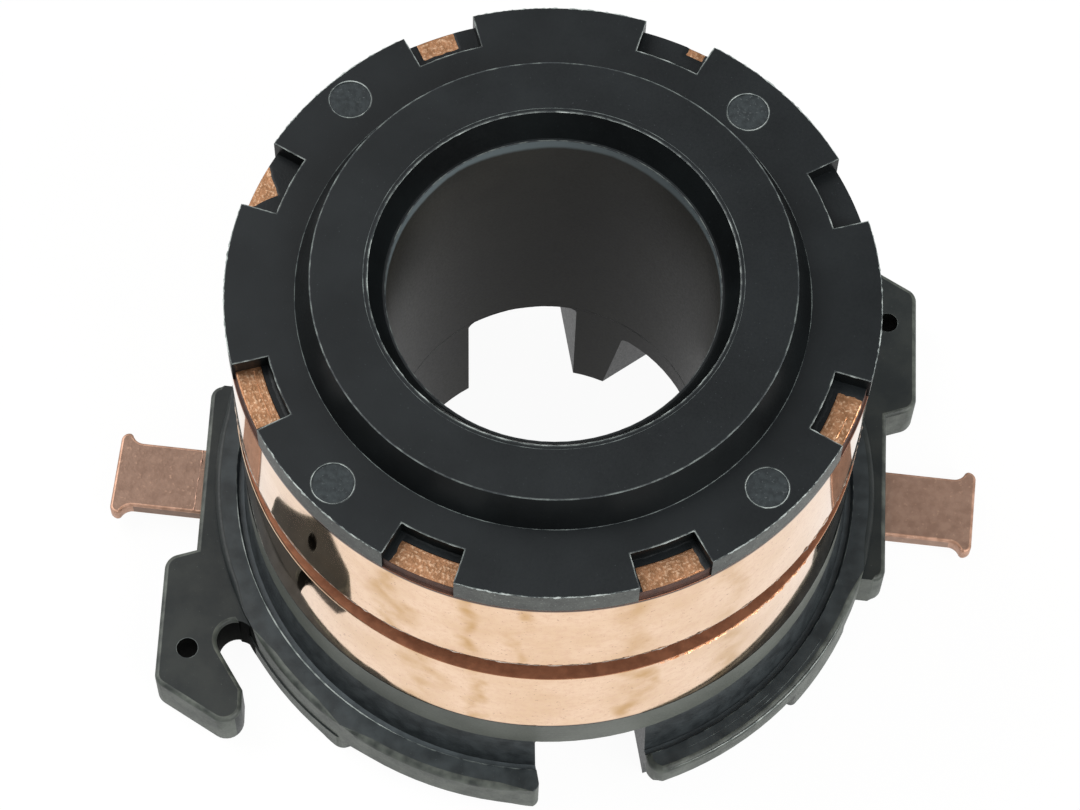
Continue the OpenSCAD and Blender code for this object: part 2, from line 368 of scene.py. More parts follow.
@dataclass(frozen=True)
class WearAndHighlightMoulding(Finish):
    """The same thermoset where it is worn or its flash is broken off, and along edges that catch the light:
    paler and dull, in patches of wear and of painted highlight.
    """

    name: str = "black_thermoset_edge_bruise_and_highlight"
    colour: str = "#22272a"
    wear_and_highlight_colour: str = "#9aa29f"
    patch_mm: float = 0.6
    patch_from: float = 0.4
    patch_to: float = 0.6
    roughness: float = 0.5
    ior: float = 1.5
    specular: float = 0.4
    grain_mm: float = 0.12
    grain_bump: float = 0.4
    relief_mm: float = 0.02

    def surface(self, tree: Tree, place: Socket) -> dict[str, object]:
        """Add pale patches of wear and painted highlight, and grain.

        Args:
            tree: Tree of the material.
            place: Object coordinates.

        Returns:
            Value or source of each of the shader's inputs, by name.
        """
        patches, grain = (
            add(tree, NOISE, inputs={"Vector": place, "Scale": per_metre(size), "Detail": 4.0}).outputs["Fac"]
            for size in (self.patch_mm, self.grain_mm)
        )
        normal = add(
            tree,
            BUMP,
            inputs={"Strength": self.grain_bump, "Distance": self.relief_mm * MM, "Height": grain},
        ).outputs[0]
        # Pale patches: wear, and along edges also painted highlight
        worn = Layer(patches, self.patch_from, self.patch_to, self.wear_and_highlight_colour)
        return {
            "Base Color": paint(tree, self.colour, [worn]),
            "Roughness": self.roughness,
            "Normal": normal,
            "IOR": self.ior,
            "Specular IOR Level": self.specular,
        }


@dataclass(frozen=True)
class TurnedCopper(Finish):
    """Bare copper, fine-turned: a mirror with faint mottling, yellowish stains and soot at its edge."""

    colour: str = "#f2ceac"
    mottle_colour: str = "#e0b494"
    mottle_mm: float = 0.34
    scratch_mm: float = 0.12
    stain_colour: str = "#c4934a"
    stain_patch_mm: float = 1.8
    # Degrees by which noise shifts a stain to both sides, and the size of that noise
    stain_wander: float = 7.0
    wander_mm: float = 3.0
    pit_colour: str = "#9d6c56"
    pit_mm: float = 0.2
    veil_mm: float = 3.2
    # Noise values at which each tone starts and is full, and how much of it shows there
    veil_tone: tuple[float, float, float] = (0.4, 0.75, 0.4)
    mottle_tone: tuple[float, float, float] = (0.45, 0.7, 0.5)
    scratch_tone: tuple[float, float, float] = (0.64, 0.76, 0.4)
    pit_tone: tuple[float, float, float] = (0.65, 0.76, 0.6)
    # Noise values between which a stain sets in
    patchy_from: float = 0.25
    patchy_to: float = 0.7
    roughness: float = 0.045
    # Factors on the roughness where the face is least and most mottled
    smoothest: float = 0.8
    roughest: float = 1.4
    turning_mm: float = 0.12
    turning_bump: float = 0.03
    relief_mm: float = 0.004
    soot_colour: str = "#3d241a"
    soot_h: float = 0.24
    # Share of the soot's height that is covered in full
    soot_core: float = 0.6
    # Height at which the soot lies
    soot_z: float = 0.0
    # Directions of the stains in degrees, their half widths and their strengths
    stains: tuple[tuple[float, float, float], ...] = ()

    def stain_mask(self, tree: Tree, place: Socket) -> Socket:
        """Mask of the stains, which are irregular and run down the face.

        Args:
            tree: Tree of the material.
            place: Object coordinates.

        Returns:
            Socket of the mask.
        """
        straight = add(
            tree, "ShaderNodeTexGradient", {"gradient_type": "RADIAL"}, {"Vector": place}
        ).outputs["Fac"]
        wander, patches = (
            add(
                tree, NOISE, inputs={"Vector": place, "Scale": per_metre(size), "Detail": detail}
            ).outputs["Fac"]
            for size, detail in ((self.wander_mm, 2.0), (self.stain_patch_mm, 5.0))
        )
        most = self.stain_wander / 360
        turns = add(tree, MAP_RANGE, inputs={"Value": wander, "To Min": -most, "To Max": most}).outputs[0]
        around = add(tree, MATHS, {"operation": "ADD"}, {0: straight, 1: turns}).outputs[0]
        mask: Socket | float = 0.0
        # The gradient starts at -X, which is half a turn before the directions do
        for degrees, half_width, strength in self.stains:
            off = add(tree, MATHS, {"operation": "SUBTRACT"}, {0: around, 1: degrees / 360 + 0.5}).outputs[0]
            distance = add(tree, MATHS, {"operation": "ABSOLUTE"}, {0: off}).outputs[0]
            stain = add(
                tree,
                MAP_RANGE,
                {"interpolation_type": "SMOOTHSTEP"},
                {"Value": distance, "From Min": half_width / 360, "From Max": 0.0, "To Max": strength},
            ).outputs[0]
            mask = add(tree, MATHS, {"operation": "ADD"}, {0: mask, 1: stain}).outputs[0]
        patchy = add(
            tree,
            MAP_RANGE,
            {"interpolation_type": "SMOOTHSTEP"},
            {"Value": patches, "From Min": self.patchy_from, "From Max": self.patchy_to},
        ).outputs[0]
        return add(
            tree, MATHS, {"operation": "MULTIPLY", "use_clamp": True}, {0: mask, 1: patchy}
        ).outputs[0]

    def surface(self, tree: Tree, place: Socket) -> dict[str, object]:
        """Add the turned lines, the mottling, the stains, the pits and the soot.

        Args:
            tree: Tree of the material.
            place: Object coordinates.

        Returns:
            Value or source of each of the shader's inputs, by name.
        """
        lying, upright = (
            add(tree, "ShaderNodeMapping", inputs={"Vector": place, "Scale": scale}).outputs[0]
            for scale in (LINES_ROUND, LINES_UPRIGHT)
        )
        lines, mottle, scratches, pits, veil = (
            add(
                tree, NOISE, inputs={"Vector": vector, "Scale": per_metre(size), "Detail": detail}
            ).outputs["Fac"]
            for vector, size, detail in (
                (lying, self.turning_mm, 2.0),
                (place, self.mottle_mm, 4.0),
                (upright, self.scratch_mm, 1.0),
                (place, self.pit_mm, 2.0),
                (place, self.veil_mm, 3.0),
            )
        )
        height = add(tree, "ShaderNodeSeparateXYZ", inputs={0: place}).outputs["Z"]
        over = add(tree, MATHS, {"operation": "SUBTRACT"}, {0: height, 1: self.soot_z * MM}).outputs[0]
        from_soot = add(tree, MATHS, {"operation": "ABSOLUTE"}, {0: over}).outputs[0]
        soot_end = self.soot_h * MM
        veil_from, veil_to, veil_most = self.veil_tone
        mottle_from, mottle_to, mottle_most = self.mottle_tone
        scratch_from, scratch_to, scratch_most = self.scratch_tone
        pit_from, pit_to, pit_most = self.pit_tone
        layers = (
            Layer(veil, veil_from, veil_to, self.stain_colour, veil_most),
            Layer(mottle, mottle_from, mottle_to, self.mottle_colour, mottle_most),
            Layer(scratches, scratch_from, scratch_to, self.mottle_colour, scratch_most),
            Layer(self.stain_mask(tree, place), 0.0, 1.0, self.stain_colour),
            Layer(pits, pit_from, pit_to, self.pit_colour, pit_most),
            Layer(from_soot, soot_end, self.soot_core * soot_end, self.soot_colour),
        )
        normal = add(
            tree,
            BUMP,
            inputs={"Strength": self.turning_bump, "Distance": self.relief_mm * MM, "Height": lines},
        ).outputs[0]
        roughness = add(
            tree,
            MAP_RANGE,
            inputs={
                "Value": mottle, "From Min": GRAIN_LOW, "From Max": GRAIN_HIGH,
                "To Min": self.roughness * self.smoothest, "To Max": self.roughness * self.roughest,
            },
        ).outputs[0]
        return {
            "Base Color": paint(tree, self.colour, layers),
            "Metallic": 1.0,
            "Roughness": roughness,
            "Normal": normal,
        }


@dataclass(frozen=True)
class DullCopper(Finish):
    """Copper as it came from the press or the saw: oxidised, grainy and half matt."""

    colour: str
    dark_colour: str
    bright_colour: str
    bright_from: float = 0.62
    bright_blend: float = 0.14
    bright_share: float = 0.5
    roughness_low: float = 0.45
    roughness_high: float = 0.6
    metallic: float = 0.7
    grain_mm: float = 0.22
    grain_bump: float = 0.5
    relief_mm: float = 0.03
    cloud_mm: float = 0.5
    # Spacing of lines round the axis, none where it is 0, and their share of the relief
    line_mm: float = 0.0
    line_share: float = 0.2

    def surface(self, tree: Tree, place: Socket) -> dict[str, object]:
        """Add clouds of oxide and bright grain, and the lines of a tool where there are any.

        Args:
            tree: Tree of the material.
            place: Object coordinates.

        Returns:
            Value or source of each of the shader's inputs, by name.
        """
        cloud, grain = (
            add(tree, NOISE, inputs={"Vector": place, "Scale": per_metre(size), "Detail": 4.0}).outputs["Fac"]
            for size in (self.cloud_mm, self.grain_mm)
        )
        relief = grain
        if self.line_mm:
            level = add(
                tree, VECTOR_MATHS, {"operation": "MULTIPLY"}, {0: place, 1: (1.0, 1.0, 0.0)}
            ).outputs[0]
            radius = add(tree, VECTOR_MATHS, {"operation": "LENGTH"}, {0: level}).outputs["Value"]
            lines = add(
                tree,
                NOISE,
                {"noise_dimensions": "1D"},
                {"W": radius, "Scale": per_metre(self.line_mm), "Detail": 2.0},
            ).outputs["Fac"]
            relief = add(
                tree, "ShaderNodeMix", {"data_type": "FLOAT"}, {0: self.line_share, 2: grain, 3: lines}
            ).outputs[0]
        bright_to = self.bright_from + self.bright_blend
        layers = (
            Layer(cloud, CLOUD_LOW, CLOUD_HIGH, self.colour),
            Layer(relief, self.bright_from, bright_to, self.bright_colour, most=self.bright_share),
        )
        roughness = add(
            tree,
            MAP_RANGE,
            inputs={"Value": cloud, "To Min": self.roughness_low, "To Max": self.roughness_high},
        ).outputs[0]
        normal = add(
            tree,
            BUMP,
            inputs={"Strength": self.grain_bump, "Distance": self.relief_mm * MM, "Height": relief},
        ).outputs[0]
        return {
            "Base Color": paint(tree, self.dark_colour, layers),
            "Metallic": self.metallic,
            "Roughness": roughness,
            "Normal": normal,
        }


def new_tree(
    name: str, floats: tuple[str, ...], integers: tuple[str, ...] = ()
) -> tuple[Tree, bpy.types.NodeOutputs]:
    """Start a geometry node tree with named inputs, the last of which is its material.

    Args:
        name: Name of the tree.
        floats: Names of the inputs that are numbers.
        integers: Names of the inputs that are whole numbers.

    Returns:
        The tree and the sockets of its inputs.
    """
    tree = bpy.data.node_groups.new(name, "GeometryNodeTree")
    kinds = dict.fromkeys(floats, "NodeSocketFloat") | dict.fromkeys(integers, "NodeSocketInt")
    inputs = {"Geometry": "NodeSocketGeometry"} | kinds | {"Material": "NodeSocketMaterial"}
    for socket, kind in inputs.items():
        tree.interface.new_socket(socket, in_out="INPUT", socket_type=kind)
    tree.interface.new_socket("Geometry", in_out="OUTPUT", socket_type="NodeSocketGeometry")
    return tree, add(tree, "NodeGroupInput").outputs


def end_tree(tree: Tree, geometry: Socket, material: Socket) -> Tree:
    """Close a geometry node tree with realized instances and its material.

    Args:
        tree: The tree.
        geometry: Socket with what the tree made.
        material: Socket with the material it gets.

    Returns:
        The tree.
    """
    real = add(tree, "GeometryNodeRealizeInstances", inputs={0: geometry}).outputs[0]
    dressed = add(
        tree, "GeometryNodeSetMaterial", inputs={"Geometry": real, "Material": material}
    ).outputs[0]
    add(tree, "NodeGroupOutput", inputs={0: dressed})
    return tree


def grow(name: str, tree: Tree, base: Mesh, values: dict[str, object]) -> Mesh:
    """Run a geometry node tree on a mesh and keep the result.

    Args:
        name: Name of the new mesh.
        tree: The geometry node tree.
        base: Mesh that the tree starts from.
        values: Value of each named input.

    Returns:
        The plain mesh that came out.
    """
    carrier = put(name + "_carrier", base)
    modifier = carrier.modifiers.new("grow", "NODES")
    modifier.node_group = tree
    for item in tree.interface.items_tree:
        if item.in_out == "INPUT" and item.name in values:
            modifier[item.identifier] = values[item.name]
    evaluated = carrier.evaluated_get(bpy.context.evaluated_depsgraph_get())
    mesh = bpy.data.meshes.new_from_object(evaluated)
    mesh.name = name
    bpy.data.objects.remove(carrier)
    return mesh


def polar(radius: float, degrees: float, height: float) -> Vector:
    """Point at a distance from the axis, in a direction and at a height."""
    angle = math.radians(degrees)
    return Vector((radius * math.cos(angle), radius * math.sin(angle), height))


def arc(radius: float, from_deg: float, to_deg: float, height: float, step: float = 1.0) -> list[Vector]:
    """Points along an arc round the shaft axis.

    Args:
        radius: Distance from the axis.
        from_deg: Direction of the first point.
        to_deg: Direction of the last point.
        height: Height over the feet.
        step: Degrees between points, about.

    Returns:
        The points.
    """
    count = max(2, round(abs(to_deg - from_deg) / step))
    return [polar(radius, from_deg + (to_deg - from_deg) * i / count, height) for i in range(count + 1)]


def circle(centre: Vector, radius: float) -> list[Vector]:
    """Points round a level circle, the last one on the first."""
    return [centre + p for p in arc(radius, 0, 360, 0, 10)]


def path_mesh(name: str, paths: Iterable[list[Vector]]) -> Mesh:
    """Make a mesh of edges only, for a tree that follows paths.

    Args:
        name: Name of the mesh.
        paths: Points of each path in millimetres. A path that ends where it starts is closed.

    Returns:
        The mesh, in metres.
    """
    points: list[Vector] = []
    edges: list[tuple[int, int]] = []
    for path in paths:
        first = len(points)
        closed = (path[0] - path[-1]).length < SAME_END
        points += [p * MM for p in (path[:-1] if closed else path)]
        edges += [(i, i + 1) for i in range(first, len(points) - 1)]
        if closed:
            edges.append((len(points) - 1, first))
    mesh = bpy.data.meshes.new(name)
    mesh.from_pydata(points, edges, [])
    return mesh


def axis_distance(point: Vector) -> float:
    """Distance of a point in metres from the shaft axis, in millimetres."""
    return math.hypot(point.x, point.y) / MM


def heights_and_radii(part: bmesh.types.BMEdge | bmesh.types.BMFace) -> tuple[list[float], list[float]]:
    """Heights and distances from the axis of the corners of an edge or a face, in millimetres."""
    return [v.co.z / MM for v in part.verts], [axis_distance(v.co) for v in part.verts]


def merged_copy(node: str) -> Shell:
    """Copy a CAD node's mesh with its triangles merged to a closed shell and its flat faces joined.

    Args:
        node: Name of the CAD node.

    Returns:
        The shell, for the caller to free.
    """
    shell = bmesh.new()
    shell.from_mesh(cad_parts[node].data)
    bmesh.ops.remove_doubles(shell, verts=shell.verts, dist=SAME_CORNER)
    bmesh.ops.dissolve_limit(shell, angle_limit=FLAT_ANGLE, verts=shell.verts, edges=shell.edges)
    return shell


def free_to_mesh(shell: Shell, mesh: Mesh) -> Mesh:
    """Write a shell to a mesh and free the shell.

    Args:
        shell: The shell.
        mesh: Mesh that takes its faces.

    Returns:
        The mesh.
    """
    shell.to_mesh(mesh)
    shell.free()
    return mesh


def soften(
    shell: Shell, chosen: Callable[[bmesh.types.BMEdge], bool], width_mm: float, segments: int, slot: int
) -> int:
    """Round the chosen edges of a shell.

    Args:
        shell: The shell to change.
        chosen: Says whether an edge is rounded.
        width_mm: Width of the rounding on each face.
        segments: Faces across the rounding.
        slot: Material slot of the new faces.

    Returns:
        How many edges were rounded.
    """
    edges = [e for e in shell.edges if len(e.link_faces) == 2 and chosen(e)]
    bmesh.ops.bevel(
        shell,
        geom=edges,
        offset=width_mm * MM,
        offset_type="OFFSET",
        segments=segments,
        profile=0.5,
        affect="EDGES",
        clamp_overlap=False,
        material=slot,
    )
    return len(edges)


@dataclass(frozen=True)
class Shading:
    """Normals for a piece made of turned, flat and rounded faces, so that each shades as what it is."""

    sharp: float = math.radians(38)
    # Width under which a face is part of a rounding
    narrow: float = 0.25 * MM
    level: float = 0.05
    # Share of a side's length that is height, from which the side is upright
    upright: float = 0.9
    # Largest angle between a turned facet's normal and the direction of its corners
    facet: float = math.radians(4.5)
    # Least agreement of a rounding's facet with the face that it runs into
    agreement: float = 0.5

    def corner_normals(self, mesh: Mesh, face: bpy.types.MeshPolygon) -> list[Vector] | None:
        """Normals at the corners of one face.

        Args:
            mesh: Mesh of the piece.
            face: Face of it.

        Returns:
            A normal for each corner, or None for a facet of a rounding.
        """
        corners = [mesh.vertices[i].co for i in face.vertices]
        sides = [a - b for a, b in zip(corners, corners[1:] + corners[:1])]
        longest = max(sides, key=lambda side: side.length)
        narrow = face.area < self.narrow * longest.length
        if narrow and abs(longest.z) < self.upright * longest.length:
            return None
        across = Vector((face.normal.x, face.normal.y, 0))
        if across.length < self.level:
            return [face.normal] * len(corners)
        side = 1 if across.dot(corners[0]) > 0 else -1
        radial = [Vector((c.x, c.y, 0)) * side for c in corners]
        on_axis = min(r.length for r in radial) < self.narrow
        if on_axis or max(r.angle(across) for r in radial) > self.facet:
            return None if narrow else [face.normal] * len(corners)
        rise = Vector((0, 0, face.normal.z))
        return [r.normalized() * across.length + rise for r in radial]

    def apply(self, mesh: Mesh) -> None:
        """Set the normals of a mesh.

        Args:
            mesh: The mesh.
        """
        mesh.shade_smooth()
        mesh.set_sharp_from_angle(angle=self.sharp)
        normals = [self.corner_normals(mesh, face) for face in mesh.polygons]
        shared: dict[int, list[Vector]] = {}
        for face, own in zip(mesh.polygons, normals):
            for vertex, normal in zip(face.vertices, own or []):
                shared.setdefault(vertex, []).append(normal)
        loops: list[Vector] = []
        for face, own in zip(mesh.polygons, normals):
            for k, vertex in enumerate(face.vertices):
                if own:
                    loops.append(own[k])
                    continue
                near = [n for n in shared.get(vertex, []) if n.dot(face.normal) > self.agreement]
                loops.append(max(near, key=face.normal.dot) if near else Vector((0, 0, 0)))
        mesh.normals_split_custom_set(loops)


def finish_piece(
    name: str, mesh: Mesh, materials: list[Material], replaced: str | None = None
) -> None:
    """Finish a mesh as a piece of the object that rides on its one body, and report it.

    Args:
        name: Name of the piece.
        mesh: Mesh in metres, in the frame of the CAD.
        materials: Materials in the order of the mesh's slots.
        replaced: CAD node that the piece stands for.
    """
    # Emptying the list of materials would put every face in the first slot
    kinds = [face.material_index for face in mesh.polygons]
    mesh.materials.clear()
    for material in materials:
        mesh.materials.append(material)
    mesh.polygons.foreach_set("material_index", kinds)
    Shading().apply(mesh)
    piece = put(name, mesh)
    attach(piece, "root")
    if replaced:
        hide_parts(replaced)
    LOG.info("%s: %d faces", name, len(mesh.polygons))


@dataclass(frozen=True)
class Moulding:
    """The black moulding, from its CAD shell with softened edges."""

    rim_top: float = 27.0
    boss_top: float = 28.87
    lead_in_foot: float = 27.42
    flange_top: float = 3.7
    flange_r: float = 18.6
    foot_r: float = 18.7
    ear_top: float = 3.15
    bore_r: float = 8.5
    ring_r: float = 16.7
    rebate_r: float = 16.55
    base_r: float = 17.1
    lower_ring_end: float = 8.03
    pocket_floor: float = 26.0
    mark_floor: float = 26.95
    ridge_r: float = 17.35
    collar_z: float = 6.35
    skirt_r: float = 16.5
    skirt_foot_r: float = 16.9
    channel_floor: float = 3.3
    fine_edge: float = 0.05
    soft_edge: float = 0.25
    flange_edge: float = 0.35
    # Length up to which an edge is left out before the edges are rounded, and after
    speck: float = 0.05
    dust: float = 0.001
    tolerance: float = 0.01
    # Room outside the bore and round an opening, in which a face still belongs to its wall
    bore_room: float = 0.05
    opening_room: float = 0.15
    # Most height that the normal of a drafted wall has
    drafted: float = 0.6
    sharp: float = math.radians(25)
    # Levels of the undersides of the flange and the feet
    under_levels: tuple[float, ...] = (0.0, 1.2, 1.9)
    # Places on one side where edges stay crisp, as x, y and distance
    crisp_spots: tuple[tuple[float, float, float], ...] = (
        (15.3, 10.5, 0.6), (18.22, -3.8, 0.6), (18.52, 12.3, 0.7), (9.6, 15.7, 0.4), (1.34, -18.35, 0.5)
    )
    # Tie hole and hook slot on one side, as x, y and radius
    openings: tuple[tuple[float, float, float], ...] = ((18.52, 12.3, 0.6), (15.95, 11.45, 1.06))
    # Directions between which the flange meets a wing and an ear, on one side
    wing_from: float = -11.5
    wing_to: float = 34.5

    def all_at(self, values: Iterable[float], target: float) -> bool:
        """Whether all these lengths in millimetres agree with one."""
        return all(abs(value - target) < self.tolerance for value in values)

    def at_spot(
        self, point: Vector, spots: tuple[tuple[float, float, float], ...], more: float = 0.0
    ) -> bool:
        """Whether a point in metres is at one of the places given for one side, or half a turn on.

        Args:
            point: The point.
            spots: Places as x, y and distance in millimetres.
            more: Distance added to that of each place.

        Returns:
            True if the point is within the distance of a place.
        """
        flat = point.xy / MM
        return any(
            (flat - Vector((side * x, side * y))).length < reach + more
            for x, y, reach in spots
            for side in (1, -1)
        )

    def is_sharp(self, edge: bmesh.types.BMEdge) -> bool:
        """Whether an edge is an outward corner of the shell."""
        return edge.calc_face_angle_signed(0) >= self.sharp

    def is_worn(self, edge: bmesh.types.BMEdge) -> bool:
        """Whether an edge is an outward corner away from the places where edges stay crisp."""
        return self.is_sharp(edge) and not any(self.at_spot(v.co, self.crisp_spots) for v in edge.verts)

    def is_flange_edge(self, edge: bmesh.types.BMEdge) -> bool:
        """Whether an edge is one of the flange's well rounded ones, at its top or its underside.

        Args:
            edge: Edge of the shell.

        Returns:
            True for such an edge.
        """
        if not self.is_worn(edge):
            return False
        heights, radii = heights_and_radii(edge)
        if (edge.verts[0].co - edge.verts[1].co).xy.length < self.dust * MM:
            low, high = self.flange_r - self.tolerance, self.foot_r + self.tolerance
            outside = low < min(radii) and max(radii) < high
            return outside and max(heights) < self.under_levels[-1] + self.tolerance
        on_ridge = self.all_at(radii, self.ridge_r)
        at_top = self.all_at(heights, self.flange_top) and min(radii) > self.base_r and not on_ridge
        under = min(radii) > self.flange_r - self.flange_edge and any(
            self.all_at(heights, level) for level in self.under_levels
        )
        return at_top or under

    def is_soft_edge(self, edge: bmesh.types.BMEdge) -> bool:
        """Whether an edge is a top edge of a wing or an ear.

        Args:
            edge: Edge of the shell.

        Returns:
            True for an edge that the mould leaves well rounded.
        """
        heights, radii = heights_and_radii(edge)
        outside = self.all_at(heights, self.ear_top) and max(radii) > self.flange_r
        return outside and self.is_worn(edge)

    def is_fine_edge(self, edge: bmesh.types.BMEdge) -> bool:
        """Whether an edge is one of the crisp edges at the rim and the boss.

        Args:
            edge: Edge of the shell.

        Returns:
            True for an edge that only has a slight rounding.
        """
        heights, _ = heights_and_radii(edge)
        levels = (self.rim_top, self.boss_top, self.lead_in_foot, self.flange_top)
        return self.is_sharp(edge) and any(self.all_at(heights, level) for level in levels)

    def above_ear(self, point: Vector) -> bool:
        """Whether a point in metres is on the flange's step over a wing or an ear.

        Args:
            point: The point.

        Returns:
            True over the wings and ears.
        """
        direction = math.degrees(math.atan2(point.y, point.x))
        over = any(self.wing_from < a < self.wing_to for a in (direction, direction % 360 - 180))
        return over and point.z / MM > self.ear_top + self.tolerance

    def face_kind(self, face: bmesh.types.BMFace) -> Face:
        """Kind of surface that a face of the shell shows.

        Args:
            face: Face of the shell.

        Returns:
            The kind.
        """
        heights, radii = heights_and_radii(face)
        centre = face.calc_center_median()
        radius, height = sum(radii) / len(radii), centre.z / MM
        upright = abs(face.normal.z) < UPRIGHT
        drafted = abs(face.normal.z) < self.drafted
        if self.all_at([height], self.mark_floor):
            return Face.MARK
        if drafted and height > self.pocket_floor and radius < self.rebate_r:
            return Face.WALL
        if upright and radius < self.bore_r + self.bore_room:
            return Face.BORE
        if upright and self.all_at(radii, self.ring_r):
            return Face.TURNED if height > self.lower_ring_end else Face.COLLAR
        low, high = self.channel_floor - self.tolerance, self.flange_top + self.tolerance
        in_channel = low < min(heights) and max(heights) < high
        if in_channel and self.skirt_foot_r < radius < self.ridge_r + self.tolerance:
            return Face.CHANNEL
        if height < high and radius > self.base_r + self.tolerance:
            if upright and self.at_spot(centre, self.openings, self.opening_room):
                return Face.HOLE
            if self.all_at([height], self.flange_top):
                return Face.FLANGE
            outward = upright and face.normal.xy.dot(centre.xy) > 0
            return Face.SIDE if outward and not self.above_ear(centre) else Face.LEDGE
        if height < self.collar_z and radius > self.skirt_r:
            return Face.SKIRT
        return Face.MOULDED

    def finishes(self) -> dict[Face, Finish]:
        """Finish of each kind of surface.

        Returns:
            The finishes, by kind.
        """
        return {
            # As it left the mould, an even satin that is almost black
            Face.MOULDED: BlackMoulding(),
            # Crisp edges that handling has bruised, with broken pale lines along them that are partly wear
            # and partly painted highlight where the edges catch the light
            Face.EDGE: WearAndHighlightMoulding(wear_and_highlight_colour="#636a67", patch_from=0.44, patch_to=0.68),
            # Outside of the rim, turned with the rings, so dark grey with fine lines all round
            Face.TURNED: BlackMoulding(
                name="black_thermoset_turned", colour="#2b2e2b", cloud_colour="#3c403c",
                cloud_mm=0.7, fleck_colour="#7d837c", fleck_from=0.68, roughness_low=0.45,
                roughness_high=0.55, specular=0.45, turning_mm=0.12,
            ),
            # Rubbed smooth by the core it was moulded on, brownish black with a paler band at its top
            Face.BORE: BlackMoulding(
                name="black_thermoset_bore", colour="#1a1915", cloud_colour="#201f1a",
                fleck_from=0.8, roughness_low=0.36, roughness_high=0.44, specular=0.07,
                band_from=26.6, band_to=26.95,
            ),
            # Pressed by the ejector pins, whose rough ends leave grey and grainy discs
            Face.MARK: BlackMoulding(
                name="black_thermoset_ejector_pad", colour="#23282a", cloud_colour="#2f3537",
                cloud_mm=0.3, fleck_from=0.66, fleck_colour="#474c4d", grain_bump=0.8,
                roughness_low=0.5, roughness_high=0.65,
            ),
            # Outer upright sides, painted grey as painted light for the pale floor that they face and
            # reflect, mottled and dull
            Face.SIDE: BlackMoulding(
                name="black_thermoset_side_painted_light", colour="#3a3f3a", cloud_colour="#535852",
                cloud_mm=1.2, fleck_colour="#7c827b", grain_bump=0.3, roughness_low=0.5,
                roughness_high=0.62, specular=0.5,
            ),
            # Drafted walls of the pockets and the boss, painted deep black as painted shade for the dark
            # parts that they face, and smooth
            Face.WALL: BlackMoulding(
                name="black_thermoset_drafted_wall", colour="#0a0c0d", cloud_colour="#111415",
                fleck_colour="#23282a", roughness_low=0.3, roughness_high=0.4, specular=0.12,
            ),
            # Rounded edges rubbed in handling, with a soft grey line painted along them, partly wear and
            # partly painted highlight, that comes and goes
            Face.ROUND: WearAndHighlightMoulding(
                name="black_thermoset_round_wear_and_highlight", colour="#292e2b", wear_and_highlight_colour="#50554f",
                patch_mm=0.9, patch_from=0.36, patch_to=0.66, grain_bump=0.5,
            ),
            # Collar turned with the rings like the rim's outside, painted a paler, even mid grey as painted
            # light from the floor below
            Face.COLLAR: BlackMoulding(
                name="black_thermoset_turned_collar", colour="#454943", cloud_colour="#525650",
                fleck_colour="#7d837c", roughness_low=0.45, roughness_high=0.55, specular=0.4,
                turning_mm=0.12,
            ),
            # Tops of the wings and ears as moulded, a touch paler than the boss under dust
            Face.LEDGE: BlackMoulding(
                name="black_thermoset_ledge", colour="#1b2021", cloud_colour="#282c2b",
                cloud_mm=1.8, fleck_colour="#474c4a", specular=0.24,
            ),
            # Flange moulded against a turned face of the mould, which left soft lines round it, painted a
            # paler dark grey than the ledges as painted light for the shade of the ring body
            Face.FLANGE: BlackMoulding(
                name="black_thermoset_flange_top", colour="#23282a", cloud_colour="#353b3d",
                cloud_mm=1.2, fleck_colour="#5b6261", specular=0.3, turning_mm=0.2,
            ),
            # Channel behind the flange's ridge, painted a bluish grey as painted light for the shade of the
            # deep channel beside the ring body
            Face.CHANNEL: BlackMoulding(
                name="black_thermoset_channel", colour="#3c4245", cloud_colour="#4b5255",
                cloud_mm=1.0, specular=0.3,
            ),
            # Wall of a tie hole or hook slot, moulded by a pin, that no light reaches
            Face.HOLE: BlackMoulding(
                name="black_thermoset_hole_wall", colour="#060706", cloud_colour="#0c0d0b",
                fleck_from=0.8, roughness_low=0.7, roughness_high=0.8, specular=0.02,
            ),
            # Skirt moulded against a turned cone of the mould, which left fine ridges on it, painted paler
            # than the moulded black as painted light for the shade beside the ring body
            Face.SKIRT: BlackMoulding(
                name="black_thermoset_skirt", colour="#222628", cloud_colour="#33383a",
                cloud_mm=0.8, roughness_low=0.35, roughness_high=0.5, specular=0.3, turning_mm=0.2,
                turning_bump=0.8,
            ),
        }

    def build(self) -> None:
        """Build and dress the moulding."""
        shell = merged_copy("moulded_body")
        bmesh.ops.dissolve_degenerate(shell, dist=self.speck * MM, edges=shell.edges)
        for face in shell.faces:
            face.material_index = self.face_kind(face).value
        wide = soften(shell, self.is_flange_edge, self.flange_edge, 4, Face.ROUND.value)
        soft = soften(shell, self.is_soft_edge, self.soft_edge, 3, Face.ROUND.value)
        for face in shell.faces:
            if face.material_index == Face.ROUND.value and self.above_ear(face.calc_center_median()):
                face.material_index = Face.LEDGE.value
        fine = soften(shell, self.is_fine_edge, self.fine_edge, 2, Face.EDGE.value)
        bmesh.ops.dissolve_degenerate(shell, dist=self.dust * MM, edges=shell.edges)
        LOG.info("moulding: %d wide, %d soft and %d fine edges", wide, soft, fine)
        mesh = free_to_mesh(shell, bpy.data.meshes.new("body_moulding"))
        finishes = self.finishes()
        materials = [finishes[kind].build() for kind in Face]
        finish_piece("body_moulding", mesh, materials, "moulded_body")


